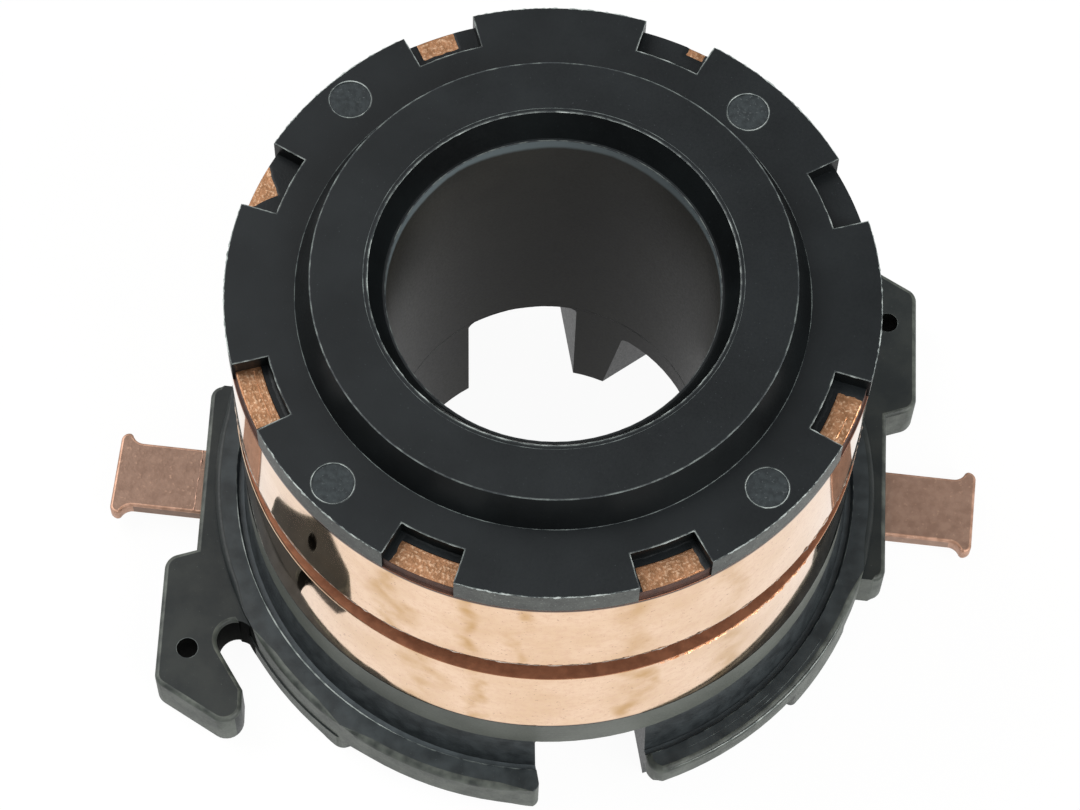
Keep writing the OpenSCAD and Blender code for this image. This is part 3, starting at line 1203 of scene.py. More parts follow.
def sweep_tree() -> Tree:
    """Tree that sweeps a section round the shaft axis.

    Returns:
        The tree.
    """
    tree, given = new_tree("turned_from_section", ("Path Radius", "Edge Radius"), ("Segments",))
    outline = add(tree, "GeometryNodeMeshToCurve", inputs={0: given["Geometry"]}).outputs[0]
    rounded = add(
        tree,
        "GeometryNodeFilletCurve",
        {"mode": "POLY"},
        {"Curve": outline, "Count": 3, "Radius": given["Edge Radius"]},
    ).outputs[0]
    path = add(
        tree,
        "GeometryNodeCurvePrimitiveCircle",
        inputs={"Resolution": given["Segments"], "Radius": given["Path Radius"]},
    ).outputs[0]
    swept = add(
        tree, "GeometryNodeCurveToMesh", inputs={"Curve": path, "Profile Curve": rounded}
    ).outputs[0]
    return end_tree(tree, swept, given["Material"])


@dataclass(frozen=True)
class SlipRing:
    """A copper ring, swept from its section round the shaft axis."""

    node: str
    bottom: float
    top: float
    rebate: RingEnd
    running_face: TurnedCopper
    outer_r: float = 16.7
    bore_r: float = 15.2
    rebate_depth: float = 0.15
    rebate_h: float = 0.72
    edge_r: float = 0.05
    tolerance: float = 0.01
    # Least height in the normal of a sawn end, and in that of a groove's side
    flat: float = 0.95
    sloping: float = 0.7
    segments: int = 360

    def section(self) -> list[Vector]:
        """Section of the ring.

        Returns:
            Corners as offset from the middle of the wall and height downwards, closed.
        """
        middle = (self.outer_r + self.bore_r) / 2
        inner, outer = self.bore_r - middle, self.outer_r - middle
        step = outer - self.rebate_depth
        if self.rebate is RingEnd.TOP:
            end, shoulder, other = self.top, self.top - self.rebate_h, self.bottom
        else:
            end, shoulder, other = self.bottom, self.bottom + self.rebate_h, self.top
        corners = [
            (inner, other),
            (outer, other),
            (outer, shoulder),
            (step, shoulder),
            (step, end),
            (inner, end),
            (inner, other),
        ]
        return [Vector((x, -z, 0)) for x, z in corners]

    def face_kind(self, face: bmesh.types.BMFace) -> RingFace:
        """Kind of surface that a face of the ring shows.

        Args:
            face: Face of the swept mesh.

        Returns:
            The kind.
        """
        centre = face.calc_center_median()
        end = self.top if self.rebate is RingEnd.TOP else self.bottom
        from_end = abs(centre.z / MM - end)
        if from_end < self.edge_r and abs(face.normal.z) > self.flat:
            return RingFace.END
        if from_end < self.rebate_h + self.tolerance:
            return RingFace.REBATE
        if abs(face.normal.z) > self.sloping or axis_distance(centre) < self.bore_r + self.edge_r:
            return RingFace.GROOVE
        return RingFace.RUNNING

    def build(self, tree: Tree, shared: list[Material]) -> None:
        """Build and dress the ring.

        Args:
            tree: Tree that sweeps a section.
            shared: Materials of the groove's side, the end and the rebate, which both rings have.
        """
        name = self.node + "_turned"
        materials = [self.running_face.build(), *shared]
        values = {
            "Path Radius": (self.outer_r + self.bore_r) / 2 * MM,
            "Edge Radius": self.edge_r * MM,
            "Segments": self.segments,
            "Material": materials[0],
        }
        mesh = grow(name, tree, path_mesh("section", [self.section()]), values)
        shell = bmesh.new()
        shell.from_mesh(mesh)
        bmesh.ops.recalc_face_normals(shell, faces=shell.faces)
        for face in shell.faces:
            face.material_index = self.face_kind(face).value
        finish_piece(name, free_to_mesh(shell, mesh), materials, self.node)


@dataclass(frozen=True)
class RingStack:
    """The two copper rings, one above the other."""

    rings: tuple[SlipRing, ...] = (
        # Turned once more after moulding: a warm mirror, with the stains that the brushes left
        SlipRing(
            node="upper_slip_ring",
            bottom=17.82,
            top=26.0,
            rebate=RingEnd.TOP,
            running_face=TurnedCopper(
                name="copper_upper_running_face", soot_z=25.28,
                stains=(
                    (-113, 5.0, 1.0),
                    (-98.5, 3.4, 1.0),
                    (-89, 2.4, 0.8),
                    (-69, 5.0, 0.6),
                    (-51, 5.0, 0.6),
                ),
            ),
        ),
        SlipRing(
            node="lower_slip_ring",
            bottom=8.03,
            top=15.76,
            rebate=RingEnd.BOTTOM,
            running_face=TurnedCopper(
                name="copper_lower_running_face", soot_z=8.7,
                stains=((-108, 5.0, 0.7), (-97.5, 3.2, 1.0), (-68, 3.4, 1.0), (-49, 5.0, 0.9)),
            ),
        ),
    )

    def build(self) -> None:
        """Build and dress both rings."""
        # Side of the turned groove, where no brush polishes the oxide: an even red brown
        groove = DullCopper(
            name="copper_groove_side", colour="#a36c4e", dark_colour="#8e5c42",
            bright_colour="#ba7e5b", metallic=0.5, grain_bump=0.2,
        )
        # End as the saw left it: rough, so that single grains glitter
        end = DullCopper(
            name="copper_sawn_end", colour="#ae8160", dark_colour="#8e6749",
            bright_colour="#e4c2a2", bright_from=0.51, bright_share=0.65, metallic=0.9,
            grain_mm=0.15, grain_bump=1.0, line_mm=0.12,
        )
        # Rebate under the rim, painted dark brown and without any shine as painted shade for its step
        rebate = DullCopper(
            name="copper_rebate_painted_shade", colour="#4a2b1e", dark_colour="#351e15",
            bright_colour="#64402e", metallic=0.0, roughness_low=0.7, roughness_high=0.8,
            grain_bump=0.3,
        )
        tree = sweep_tree()
        shared = [finish.build() for finish in (groove, end, rebate)]
        for ring in self.rings:
            ring.build(tree, shared)


@dataclass(frozen=True)
class LeadStrip:
    """A pressed copper strip, from its CAD shell with rounded edges and brighter sheared sides."""

    node: str
    pressed: DullCopper
    edge: float = 0.16
    flange_r: float = 18.6
    sharp: float = math.radians(40)

    def is_edge(self, edge: bmesh.types.BMEdge) -> bool:
        """Whether an edge of the strip is rounded."""
        return edge.calc_face_angle_signed(0) > self.sharp

    def face_kind(self, face: bmesh.types.BMFace) -> StripFace:
        """Kind of surface that a face of the strip shows."""
        outside = axis_distance(face.calc_center_median()) > self.flange_r
        return StripFace.SHEARED if outside and abs(face.normal.z) < UPRIGHT else StripFace.PRESSED

    def build(self, sheared: Material) -> None:
        """Build and dress the strip.

        Args:
            sheared: Material of its sheared sides.
        """
        shell = merged_copy(self.node)
        for face in shell.faces:
            face.material_index = self.face_kind(face).value
        soften(shell, self.is_edge, self.edge, 3, StripFace.SHEARED.value)
        name = self.node + "_pressed"
        mesh = free_to_mesh(shell, bpy.data.meshes.new(name))
        finish_piece(name, mesh, [self.pressed.build(), sheared], self.node)


@dataclass(frozen=True)
class StripPair:
    """The two lead strips."""

    strips: tuple[LeadStrip, ...] = (
        # Rolled and pressed, then browned by the heat of the mould, the left one more than the right
        LeadStrip("left_lead_strip", DullCopper("copper_left_strip", "#8c7263", "#7d6456", "#bd9a84")),
        LeadStrip("right_lead_strip", DullCopper("copper_right_strip", "#a38675", "#947767", "#c7a48e")),
    )
    # Sheared sides, fresher metal than the faces and so paler and pinker
    sheared: DullCopper = DullCopper("copper_sheared_side", "#c9a18b", "#a7826d", "#e6c6b1")

    def build(self) -> None:
        """Build and dress both strips."""
        sheared = self.sheared.build()
        for strip in self.strips:
            strip.build(sheared)


def flash_tree(
    noise_mm: float = 0.5, feather: float = 0.3, feather_share: float = 0.35, weld: float = 0.001
) -> Tree:
    """Tree that lays a thin ragged skin of resin on a pocket's floor and leaves a window in it.

    Args:
        noise_mm: Size of the raggedness in millimetres.
        feather: Distance from the window over which the skin gets its full thickness, in millimetres.
        feather_share: Share of that thickness at the window.
        weld: Distance up to which two points of the skin become one, in millimetres.

    Returns:
        The tree.
    """
    tree, given = new_tree(
        "resin_skin_with_window",
        (
            "Direction", "Width",
            "Inner Radius",
            "Outer Radius",
            "Floor", "Sunk", "Thickness",
            "Window Start",
            "Window End",
            "Window Inner",
            "Window Taper",
            "Raggedness", "Seed",
        ),
        ("Columns", "Rows"),
    )
    grid = add(
        tree,
        "GeometryNodeMeshGrid",
        inputs={
            "Size X": 1.0, "Size Y": 1.0, "Vertices X": given["Columns"], "Vertices Y": given["Rows"]
        },
    ).outputs[0]
    position = add(tree, "GeometryNodeInputPosition").outputs[0]
    cell = add(tree, "ShaderNodeSeparateXYZ", inputs={0: position}).outputs
    turn = add(tree, MATHS, {"operation": "MULTIPLY"}, {0: cell["X"], 1: given["Width"]}).outputs[0]
    radius = add(
        tree,
        MAP_RANGE,
        inputs={
            "Value": cell["Y"], "From Min": -0.5, "From Max": 0.5,
            "To Min": given["Inner Radius"],
            "To Max": given["Outer Radius"],
        },
    ).outputs[0]
    direction = add(tree, MATHS, {"operation": "ADD"}, {0: turn, 1: given["Direction"]}).outputs[0]
    angle = add(tree, MATHS, {"operation": "RADIANS"}, {0: direction}).outputs[0]
    x, y = (
        add(
            tree,
            MATHS,
            {"operation": "MULTIPLY"},
            {0: radius, 1: add(tree, MATHS, {"operation": part}, {0: angle}).outputs[0]},
        ).outputs[0]
        for part in ("COSINE", "SINE")
    )
    z = add(tree, MATHS, {"operation": "SUBTRACT"}, {0: given["Floor"], 1: given["Sunk"]}).outputs[0]
    placed = add(tree, "ShaderNodeCombineXYZ", inputs={0: x, 1: y, 2: z}).outputs[0]
    noise = add(
        tree,
        NOISE,
        {"noise_dimensions": "4D"},
        {"Vector": placed, "W": given["Seed"], "Scale": per_metre(noise_mm), "Detail": 4.0},
    ).outputs["Fac"]
    outward = add(
        tree, MATHS, {"operation": "SUBTRACT"}, {0: given["Outer Radius"], 1: radius}
    ).outputs[0]
    taper = add(tree, MATHS, {"operation": "MULTIPLY"}, {0: outward, 1: given["Window Taper"]}).outputs[0]
    from_start, to_end = (
        add(
            tree,
            MATHS,
            {"operation": "SUBTRACT"},
            {0: add(tree, MATHS, {"operation": "SUBTRACT"}, {0: more, 1: less}).outputs[0], 1: taper},
        ).outputs[0]
        for more, less in ((turn, given["Window Start"]), (given["Window End"], turn))
    )
    degrees = add(tree, MATHS, {"operation": "MINIMUM"}, {0: from_start, 1: to_end}).outputs[0]
    per_degree = add(tree, MATHS, {"operation": "MULTIPLY"}, {0: radius, 1: math.radians(1)}).outputs[0]
    along = add(tree, MATHS, {"operation": "MULTIPLY"}, {0: degrees, 1: per_degree}).outputs[0]
    across = add(
        tree, MATHS, {"operation": "SUBTRACT"}, {0: radius, 1: given["Window Inner"]}
    ).outputs[0]
    inside = add(tree, MATHS, {"operation": "MINIMUM"}, {0: along, 1: across}).outputs[0]
    centred = add(tree, MATHS, {"operation": "SUBTRACT"}, {0: noise, 1: NOISE_MIDDLE}).outputs[0]
    shift = add(tree, MATHS, {"operation": "MULTIPLY"}, {0: centred, 1: given["Raggedness"]}).outputs[0]
    depth = add(tree, MATHS, {"operation": "ADD"}, {0: inside, 1: shift}).outputs[0]
    marked = add(
        tree,
        "GeometryNodeStoreNamedAttribute",
        {"data_type": "FLOAT", "domain": "POINT"},
        {"Geometry": grid, "Name": "into_window", "Value": depth},
    ).outputs[0]
    laid = add(
        tree, "GeometryNodeSetPosition", inputs={"Geometry": marked, "Position": placed}
    ).outputs[0]
    into = add(
        tree, "GeometryNodeInputNamedAttribute", {"data_type": "FLOAT"}, {"Name": "into_window"}
    ).outputs[0]
    free = add(tree, MATHS, {"operation": "GREATER_THAN"}, {0: into, 1: 0.0}).outputs[0]
    plate = add(
        tree, "GeometryNodeDeleteGeometry", {"domain": "FACE"}, {"Geometry": laid, "Selection": free}
    ).outputs[0]
    raised = add(
        tree,
        "GeometryNodeExtrudeMesh",
        inputs={
            "Mesh": plate, "Offset": (0.0, 0.0, 1.0), "Offset Scale": given["Sunk"], "Individual": False
        },
    ).outputs
    thinnest = add(
        tree, MATHS, {"operation": "MULTIPLY"}, {0: given["Thickness"], 1: feather_share}
    ).outputs[0]
    lift = add(
        tree,
        MAP_RANGE,
        inputs={
            "Value": into, "From Min": 0.0, "From Max": -feather * MM, "To Min": thinnest,
            "To Max": given["Thickness"],
        },
    ).outputs[0]
    up = add(tree, "ShaderNodeCombineXYZ", inputs={2: lift}).outputs[0]
    top = add(
        tree,
        "GeometryNodeSetPosition",
        inputs={"Geometry": raised["Mesh"], "Selection": raised["Top"], "Offset": up},
    ).outputs[0]
    under = add(tree, "GeometryNodeFlipFaces", inputs={0: plate}).outputs[0]
    both = add(tree, "GeometryNodeJoinGeometry", inputs={0: [top, under]}).outputs[0]
    closed = add(
        tree, "GeometryNodeMergeByDistance", inputs={"Geometry": both, "Distance": weld * MM}
    ).outputs[0]
    return end_tree(tree, closed, given["Material"])


@dataclass(frozen=True)
class PocketWindow:
    """Part of a pocket's floor where the copper is free of resin."""

    name: str
    direction: float
    # Directions from the pocket's middle between which the copper shows
    start: float
    end: float
    # Distance from the axis outside which the copper shows
    inner: float
    taper: float = 0.0
    thickness: float = 0.1
    raggedness: float = 0.25


@dataclass(frozen=True)
class RimPockets:
    """The eight pockets in the rim, with the resin that ran over the upper ring's end."""

    windows: tuple[PocketWindow, ...] = (
        PocketWindow("right_back", 27.6, 0.0, -9.0, 17.0, thickness=0.14),
        PocketWindow("back_right", 72.6, -5.0, -2.5, 16.2, thickness=0.14),
        PocketWindow("back_left", 117.6, -2.0, 3.7, 15.75),
        PocketWindow("left_back", 162.6, -3.0, 5.0, 15.5, taper=4.0),
        PocketWindow("left_front", 207.6, -6.9, 4.3, 15.15),
        PocketWindow("front_left", 252.6, -4.7, 6.0, 15.1),
        PocketWindow("front_right", 297.6, -5.3, 5.0, 15.0, thickness=0.12),
        PocketWindow("right_front", 342.6, -4.7, 3.6, 15.2, raggedness=0.5),
    )
    # Resin that ran on the copper and was left as it set: a smooth black skin
    resin: BlackMoulding = BlackMoulding(name="black_thermoset_flash", grain_bump=0.3)
    width: float = 13.3
    inner_r: float = 14.8
    end_r: float = 16.53
    rim_r: float = 16.7
    floor: float = 26.0
    rim_top: float = 27.0
    # Depth to which the skin is let into the floor and the back wall, and degrees into the side walls
    sunk: float = 0.04
    into_sides: float = 0.3
    # Distances of a burr's line from the rim's top, from its outer edge and from that edge at a corner
    under_top: float = 0.02
    in_from_edge: float = 0.02
    in_from_corner: float = 0.05
    columns: int = 56
    rows: int = 28
    # Step in the fourth dimension of the skin's noise from one pocket to the next
    seed_step: float = 3.0

    def outline(self, pocket: PocketWindow) -> list[Vector]:
        """Edge of a pocket on the rim's top.

        Args:
            pocket: The pocket.

        Returns:
            Points from its one outer corner to the other.
        """
        level, corner_r = self.rim_top - self.under_top, self.rim_r - self.in_from_corner
        first, last = pocket.direction - self.width / 2, pocket.direction + self.width / 2
        inside = arc(self.inner_r, first, last, level)
        return [polar(corner_r, first, level), *inside, polar(corner_r, last, level)]

    def rim_edges(self) -> list[list[Vector]]:
        """Outer top edges of the rim between the pockets.

        Returns:
            Points of each edge.
        """
        half, level = self.width / 2, self.rim_top - self.under_top
        middles = sorted(pocket.direction for pocket in self.windows)
        nexts = middles[1:] + [middles[0] + 360]
        radius = self.rim_r - self.in_from_edge
        return [arc(radius, a + half, b - half, level) for a, b in zip(middles, nexts)]

    def build(self) -> None:
        """Build and dress the resin in each pocket."""
        tree, material = flash_tree(), self.resin.build()
        for number, pocket in enumerate(self.windows):
            lengths = {
                "Inner Radius": self.inner_r - self.sunk,
                "Outer Radius": self.end_r,
                "Floor": self.floor,
                "Sunk": self.sunk,
                "Thickness": pocket.thickness,
                "Window Inner": pocket.inner,
                "Raggedness": pocket.raggedness,
            }
            values = {
                "Direction": pocket.direction,
                "Width": self.width + self.into_sides,
                "Window Start": pocket.start,
                "Window End": pocket.end,
                "Window Taper": pocket.taper / MM,
                "Columns": self.columns,
                "Rows": self.rows,
                "Seed": self.seed_step * number,
                "Material": material,
            }
            values |= {name: length * MM for name, length in lengths.items()}
            mesh = grow("flash_" + pocket.name, tree, bpy.data.meshes.new("empty"), values)
            finish_piece("flash_" + pocket.name, mesh, [material])


def burr_tree(
    wobble_mm: float = 0.25, swell: float = 0.22, end_part: float = 0.2, sides: int = 5
) -> Tree:
    """Tree that grows a ragged burr along paths, thick in places and almost gone in others.

    Args:
        wobble_mm: Size of the burr's wobble in millimetres.
        swell: Noise over the bare value at which the burr is thickest.
        end_part: Part of an open line's length over which the burr thins out to its end.
        sides: Corners of the burr's section.

    Returns:
        The tree.
    """
    tree, given = new_tree(
        "ragged_burr_along_edges",
        ("Step", "Jitter", "Patch", "Bare", "Thinnest", "Thickest", "End Share", "Seed"),
    )
    line = add(tree, "GeometryNodeMeshToCurve", inputs={0: given["Geometry"]}).outputs[0]
    even = add(
        tree, "GeometryNodeResampleCurve", {"mode": "LENGTH"}, {"Curve": line, "Length": given["Step"]}
    ).outputs[0]
    place = add(tree, "GeometryNodeInputPosition").outputs[0]
    patch_scale = add(tree, MATHS, {"operation": "DIVIDE"}, {0: 1.0, 1: given["Patch"]}).outputs[0]
    wobble, patch = (
        add(
            tree,
            NOISE,
            {"noise_dimensions": "4D"},
            {"Vector": place, "W": given["Seed"], "Scale": scale, "Detail": detail},
        ).outputs[result]
        for scale, detail, result in ((per_metre(wobble_mm), 2.0, "Color"), (patch_scale, 4.0, "Fac"))
    )
    centred = add(
        tree, VECTOR_MATHS, {"operation": "SUBTRACT"}, {0: wobble, 1: (NOISE_MIDDLE,) * 3}
    ).outputs[0]
    shift = add(
        tree, VECTOR_MATHS, {"operation": "SCALE"}, {0: centred, "Scale": given["Jitter"]}
    ).outputs[0]
    moved = add(tree, "GeometryNodeSetPosition", inputs={"Geometry": even, "Offset": shift}).outputs[0]
    full = add(tree, MATHS, {"operation": "ADD"}, {0: given["Bare"], 1: swell}).outputs[0]
    thick = add(
        tree,
        MAP_RANGE,
        inputs={
            "Value": patch, "From Min": given["Bare"], "From Max": full,
            "To Min": given["Thinnest"], "To Max": given["Thickest"],
        },
    ).outputs[0]
    along = add(tree, "GeometryNodeSplineParameter").outputs["Factor"]
    back = add(tree, MATHS, {"operation": "SUBTRACT"}, {0: 1.0, 1: along}).outputs[0]
    from_end = add(tree, MATHS, {"operation": "MINIMUM"}, {0: along, 1: back}).outputs[0]
    fade = add(
        tree,
        MAP_RANGE,
        inputs={"Value": from_end, "From Max": end_part, "To Min": given["End Share"], "To Max": 1.0},
    ).outputs[0]
    scale = add(tree, MATHS, {"operation": "MULTIPLY"}, {0: thick, 1: fade}).outputs[0]
    section = add(
        tree, "GeometryNodeCurvePrimitiveCircle", inputs={"Resolution": sides, "Radius": 1.0}
    ).outputs[0]
    tube = add(
        tree,
        "GeometryNodeCurveToMesh",
        inputs={"Curve": moved, "Profile Curve": section, "Scale": scale, "Fill Caps": True},
    ).outputs[0]
    return end_tree(tree, tube, given["Material"])


@dataclass(frozen=True)
class EdgeBurr:
    """A burr along edges: what the mould's joints and the turning tool leave, and thin lines of painted
    highlight too.
    """

    name: str
    paths: list[list[Vector]]
    slot: str = "moulding"
    thickest: float = 0.04
    jitter: float = 0.05
    # Noise value under which the edge is bare
    bare: float = 0.42
    patch: float = 0.9
    step: float = 0.09
    thinnest: float = 0.005
    # Share of the thickness that is left where an open line ends
    end_share: float = 1.0
    seed: float = 1.0

    def build(self, tree: Tree, material: Material) -> None:
        """Build and dress the burr.

        Args:
            tree: Tree that grows a burr.
            material: The burr's material.
        """
        values = {
            "Step": self.step * MM,
            "Jitter": self.jitter * MM,
            "Patch": self.patch * MM,
            "Bare": self.bare,
            "Thinnest": self.thinnest * MM,
            "Thickest": self.thickest * MM,
            "End Share": self.end_share,
            "Seed": self.seed,
            "Material": material,
        }
        mesh = grow(self.name, tree, path_mesh(self.name + "_paths", self.paths), values)
        finish_piece(self.name, mesh, [material])


@dataclass(frozen=True)
class Burrs:
    """All burrs of the moulding, the rings and the left strip, with the lines of painted highlight among
    them.
    """

    pockets: RimPockets
    rim_top: float = 27.0
    boss_top: float = 28.87
    boss_foot_r: float = 13.1
    boss_top_r: float = 12.3
    lead_in_r: float = 9.6
    # Broken edge in the lead-in, just inside its top
    lead_in_chip_r: float = 9.38
    bore_r: float = 8.5
    # Height of the fine edge that shows in the bore
    bore_line: float = 8.3
    # Distance of a line from a softened edge, which lets it sit in the rounding, and from a plain corner
    into: float = 0.02
    over: float = 0.01
    # Stretches of the flange's top edges that carry painted highlight streaks, as distance from the axis,
    # first and last direction
    flange_lines: tuple[tuple[float, float, float], ...] = (
        (17.35, -110, -88),
        (17.8, -58, -40),
        (18.05, -46, -26),
    )
    # Ejector marks as distance from the axis and direction, and their radius
    marks: tuple[tuple[float, float], ...] = ((15.28, 139.9), (14.6, 52.5), (15.26, -129.3), (15.08, -39.1))
    mark_r: float = 1.09
    # Middle of the right ear's tie hole, and the hole's radius
    tie_hole: tuple[float, float, float] = (18.52, 12.3, 3.15)
    tie_hole_r: float = 0.6
    flange_top: float = 3.7
    ridge_r: float = 17.35
    ring_r: float = 16.7
    lower_ring_top: float = 15.76
    upper_ring_bottom: float = 17.82
    upper_ring_top: float = 26.0

    def on_moulding(self, tree: Tree) -> None:
        """Build the lines of flash and wear, and of painted highlight, on the moulding.

        Args:
            tree: Tree that grows a burr.
        """
        # Flash broken off at an edge, pale and dull like any fresh break of a filled resin, and pale lines of
        # painted highlight along the rim's edge and the flange's ridge
        pale = WearAndHighlightMoulding("black_thermoset_flash_break_and_highlight", "#6f7775", "#a9b0ad").build()
        # Flash that is worn down round the pockets, a thinner and darker line
        worn = WearAndHighlightMoulding("black_thermoset_dull_flash", "#4d5452", "#959c99").build()
        # Edges rubbed in handling, and edges with painted highlight where they catch the light: a line only a
        # little paler than the black beside it
        rubbed = WearAndHighlightMoulding("black_thermoset_line_rub_and_highlight", "#3c4244", "#6d7573").build()
        x, y, z = self.tie_hole
        EdgeBurr(
            "burr_rim_edge",
            self.pockets.rim_edges(),
            thickest=0.05, jitter=0.12, bare=0.4, patch=0.3, step=0.06, end_share=0.3,
        ).build(tree, pale)
        outlines = [self.pockets.outline(pocket) for pocket in self.pockets.windows]
        EdgeBurr("burr_pocket_edges", outlines, thickest=0.034, bare=0.42).build(tree, worn)
        EdgeBurr(
            "burr_ejector_marks",
            [circle(polar(r, d, self.rim_top), self.mark_r) for r, d in self.marks],
            thickest=0.035, bare=0.4, patch=1.4, jitter=0.03,
        ).build(tree, pale)
        EdgeBurr(
            "burr_boss_foot",
            [arc(self.boss_foot_r, 0, 360, self.rim_top + self.over)],
            thickest=0.026, bare=0.36, patch=3.0, jitter=0.02,
        ).build(tree, rubbed)
        EdgeBurr(
            "burr_lead_in_edge",
            [arc(self.lead_in_chip_r, 0, 360, self.boss_top - self.into)],
            bare=0.5, patch=1.2,
        ).build(tree, pale)
        # Faint pale lines at the boss, the lead-in, the bore's fine edge, the tie holes and the flange's top
        # edges: rubbed wear and painted highlight
        EdgeBurr(
            "burr_faint_lines",
            [
                arc(self.boss_top_r, 0, 360, self.boss_top - self.into),
                arc(self.lead_in_r, 0, 360, self.boss_top),
                arc(self.bore_r, 0, 360, self.bore_line),
                circle(Vector((-x, -y, z)), self.tie_hole_r),
                circle(Vector((x, y, z)), self.tie_hole_r),
                *(arc(r, first, last, self.flange_top) for r, first, last in self.flange_lines),
            ], thickest=0.022, patch=2.0, jitter=0.02,
        ).build(tree, rubbed)
        # A pale burr along the flange's ridge and outer top edge, painted as the highlight streaks where
        # these edges catch the light
        EdgeBurr(
            "flange_ridge_burr_painted_highlight",
            [arc(self.ridge_r, -172, -108, self.flange_top), arc(18.53, -62, -20, self.flange_top - 0.07)],
            bare=0.3, patch=5.0, jitter=0.02, end_share=0.1,
        ).build(tree, pale)

    def on_copper(self, tree: Tree) -> None:
        """Build the burrs on the rings and the left strip.

        Args:
            tree: Tree that grows a burr.
        """
        # Copper smeared over an edge by the turning tool and tarnished since, greyish and matt
        smeared = WearAndHighlightMoulding("copper_edge_smeared", "#6b625c", "#b0a59b").build()
        # Freshly torn copper, rough but clean, that glints where light strikes along it
        torn = DullCopper(
            name="copper_bright_burr", colour="#efb78e", dark_colour="#dc9868",
            bright_colour="#ffe6cf", metallic=0.6, roughness_low=0.2, roughness_high=0.3,
        ).build()
        # Edge polished by the tool's flank, a thin line nearly as bright as the running face
        polished = DullCopper(
            name="copper_polished_edge", colour="#f6dcc2", dark_colour="#edc6a4",
            bright_colour="#ffeedd", metallic=1.0, roughness_low=0.25, roughness_high=0.35,
            grain_bump=0.1,
        ).build()
        # Copper raised by the bending tool, paler than the browned strip
        raised = DullCopper("copper_strip_burr", "#c49c88", "#a88372", "#e6c8b6").build()
        EdgeBurr(
            "burr_upper_ring_edge",
            [arc(self.ring_r, 0, 360, self.upper_ring_bottom + self.into)],
            slot="ring_copper", thickest=0.055, jitter=0.1, bare=0.44, patch=0.5, seed=4.0,
        ).build(tree, smeared)
        EdgeBurr(
            "burr_lower_ring_edge",
            [
                arc(self.ring_r + out, -64, -29, self.lower_ring_top - down)
                for out, down in ((0.0, 0.04), (0.01, 0.12), (0.01, 0.2))
            ], slot="ring_copper", thickest=0.07, jitter=0.24, bare=0.46, patch=0.35, step=0.07,
            end_share=0.2, seed=7.0,
        ).build(tree, torn)
        EdgeBurr(
            "burr_lower_ring_polished_edge",
            [arc(self.ring_r - self.into, -190, -112, self.lower_ring_top - self.over)],
            slot="ring_copper", thickest=0.045, jitter=0.02, bare=0.2, patch=3.0, end_share=0.1,
            seed=5.0,
        ).build(tree, polished)
        EdgeBurr(
            "burr_ring_end",
            [
                arc(16.46, 201.3, 211.8, self.upper_ring_top + self.over),
                arc(15.62, 201.5, 211.8, self.upper_ring_top),
                arc(16.46, 297.6, 302.6, self.upper_ring_top + self.over),
                arc(16.5, 338.2, 346.2, self.upper_ring_top + self.over),
                arc(16.1, 338.2, 343.0, self.upper_ring_top),
            ], slot="ring_copper", jitter=0.1, bare=0.36, patch=0.5, seed=9.0,
        ).build(tree, torn)
        EdgeBurr(
            "burr_left_strip_root",
            [[Vector((-19.6, -3.5, 1.71)), Vector((-19.62, 0.28, 1.71))]],
            slot="lead_copper", thickest=0.075, jitter=0.16, bare=0.44, patch=0.35, seed=2.0,
        ).build(tree, raised)

    def build(self) -> None:
        """Build every burr."""
        tree = burr_tree()
        self.on_moulding(tree)
        self.on_copper(tree)


@dataclass(frozen=True)
class SoftBox:
    """A square lamp that points at the object."""

    name: str
    at: tuple[float, float, float]
    size: float
    watts: float

    def build(self) -> None:
        """Hang the lamp."""
        data = bpy.data.lights.new(self.name, "AREA")
        data.shape = "SQUARE"
        data.size = self.size * MM
        data.energy = self.watts
        at = Vector(self.at)
        turn = at.to_track_quat("Z", "Y").to_matrix().to_4x4()
        put(self.name, data).matrix_world = Matrix.Translation(at * MM) @ turn


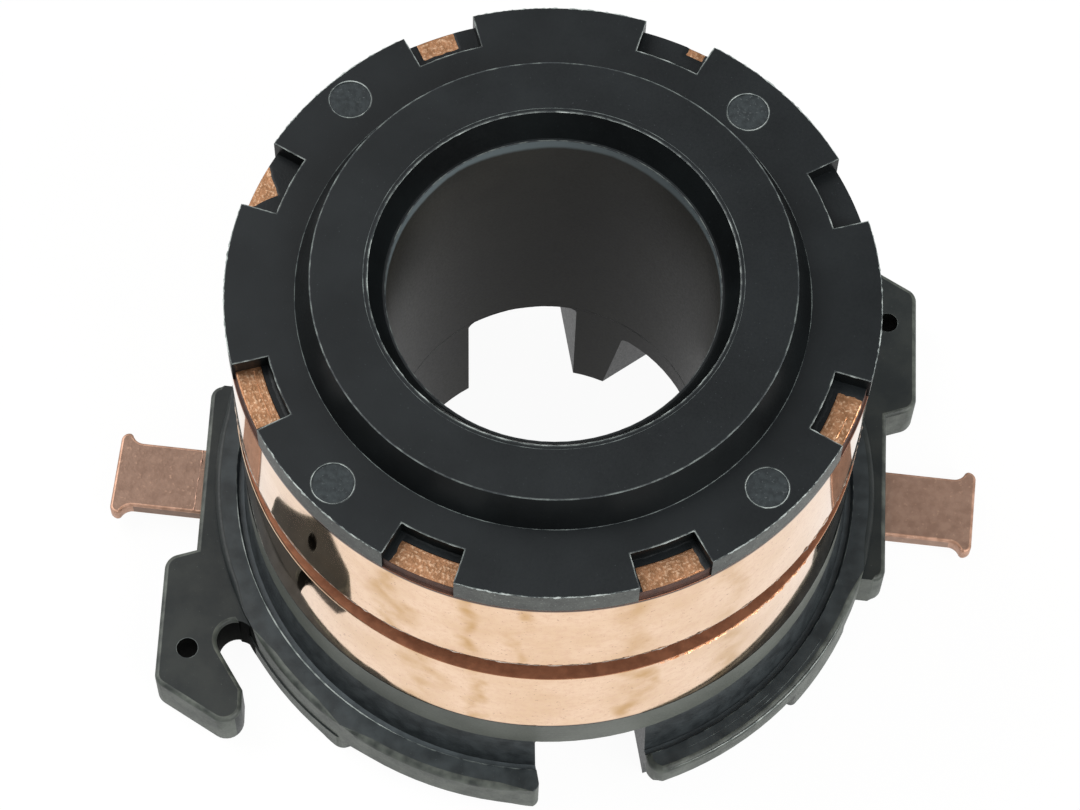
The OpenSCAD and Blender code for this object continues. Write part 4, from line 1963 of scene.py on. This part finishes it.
@dataclass(frozen=True)
class Studio:
    """Camera at the photo's viewing angle, pale floor and soft plain light."""

    camera_at: tuple[float, float, float] = (5.947, -84.525, 195.297)
    camera_target: tuple[float, float, float] = (0.027, -6.362, 27.0)
    camera_roll: float = 2.249
    sensor_mm: float = 36.0
    lens_mm: float = 123.95
    # Nearest and farthest distances that the camera sees, in metres
    clip: tuple[float, float] = (0.01, 10.0)
    floor_size: float = 4000.0
    # Gap under the feet, which keeps their underside apart from the floor
    floor_gap: float = 0.02
    floor_colour: str = "#f4f4f2"
    floor_glow: float = 0.955
    world_colour: str = "#ffffff"
    world_strength: float = 0.5
    lamps: tuple[SoftBox, ...] = (
        SoftBox("key_soft_box", (-350.0, 150.0, 420.0), 400.0, 2.7),
        SoftBox("fill_soft_box", (380.0, -250.0, 320.0), 400.0, 2.8),
    )

    def place_camera(self) -> None:
        """Put the camera where the photo was taken from."""
        data = bpy.data.cameras.new("photo_camera")
        data.sensor_width = self.sensor_mm
        data.lens = self.lens_mm
        data.clip_start, data.clip_end = self.clip
        camera = put("photo_camera", data)
        at = Vector(self.camera_at)
        back = (at - Vector(self.camera_target)).normalized()
        right = Vector((0, 0, 1)).cross(back).normalized()
        above = back.cross(right)
        turn = Matrix.Rotation(math.radians(self.camera_roll), 3, back)
        axes = Matrix((turn @ right, turn @ above, back)).transposed()
        camera.matrix_world = Matrix.Translation(at * MM) @ axes.to_4x4()
        bpy.context.scene.camera = camera

    def floor_material(self) -> Material:
        """White paper that stays white to the camera and in reflections, with the object's shadow on it.

        Returns:
            The material, which a camera under the floor looks through at the object's underside.
        """
        material, tree = empty_material("white_paper_floor")
        paper = add(
            tree, "ShaderNodeBsdfDiffuse", inputs={"Color": linear(self.floor_colour)}
        ).outputs[0]
        glow = add(tree, "ShaderNodeEmission", inputs={"Strength": 1.0}).outputs[0]
        path = add(tree, "ShaderNodeLightPath").outputs
        seen: Socket = path["Is Camera Ray"]
        for ray in ("Is Glossy Ray", "Is Transmission Ray"):
            seen = add(tree, MATHS, {"operation": "MAXIMUM"}, {0: seen, 1: path[ray]}).outputs[0]
        share = add(tree, MATHS, {"operation": "MULTIPLY"}, {0: seen, 1: self.floor_glow}).outputs[0]
        mixed = add(tree, "ShaderNodeMixShader", inputs={0: share, 1: paper, 2: glow}).outputs[0]
        behind = add(tree, "ShaderNodeNewGeometry").outputs["Backfacing"]
        from_below = add(
            tree, MATHS, {"operation": "MULTIPLY"}, {0: behind, 1: path["Is Camera Ray"]}
        ).outputs[0]
        clear = add(tree, "ShaderNodeBsdfTransparent").outputs[0]
        sheet = add(tree, "ShaderNodeMixShader", inputs={0: from_below, 1: mixed, 2: clear}).outputs[0]
        add(tree, "ShaderNodeOutputMaterial", inputs={"Surface": sheet})
        return material

    def lay_floor(self) -> None:
        """Lay the floor just under the feet."""
        half, level = self.floor_size / 2 * MM, -self.floor_gap * MM
        mesh = bpy.data.meshes.new("floor")
        corners = [(-half, -half, level), (half, -half, level), (half, half, level), (-half, half, level)]
        mesh.from_pydata(corners, [], [(0, 1, 2, 3)])
        mesh.materials.append(self.floor_material())
        floor = put("floor", mesh)

    def fill_world(self) -> None:
        """Fill the room with even light, and show it to the camera as white as the floor."""
        world = bpy.data.worlds.new("even_room_light")
        world.use_nodes = True
        tree = world.node_tree
        tree.nodes.clear()
        seen = add(tree, "ShaderNodeLightPath").outputs["Is Camera Ray"]
        strength = add(
            tree,
            MAP_RANGE,
            inputs={"Value": seen, "To Min": self.world_strength, "To Max": self.floor_glow},
        ).outputs[0]
        room = add(
            tree,
            "ShaderNodeBackground",
            inputs={"Color": linear(self.world_colour), "Strength": strength},
        ).outputs[0]
        add(tree, "ShaderNodeOutputWorld", inputs={"Surface": room})
        bpy.context.scene.world = world

    def build(self) -> None:
        """Set up the camera, the floor and the light."""
        self.place_camera()
        self.lay_floor()
        self.fill_world()
        for lamp in self.lamps:
            lamp.build()
        bpy.context.scene.view_settings.view_transform = "Standard"


def main() -> None:
    """Build the studio and every piece of the slip ring, in order."""
    logging.basicConfig(level=logging.INFO, format="%(name)s: %(message)s")
    pockets = RimPockets()
    for part in (Studio(), Moulding(), RingStack(), StripPair(), pockets, Burrs(pockets)):
        part.build()
        LOG.info("%s: done", type(part).__name__)


if __name__ == "__main__":
    main()
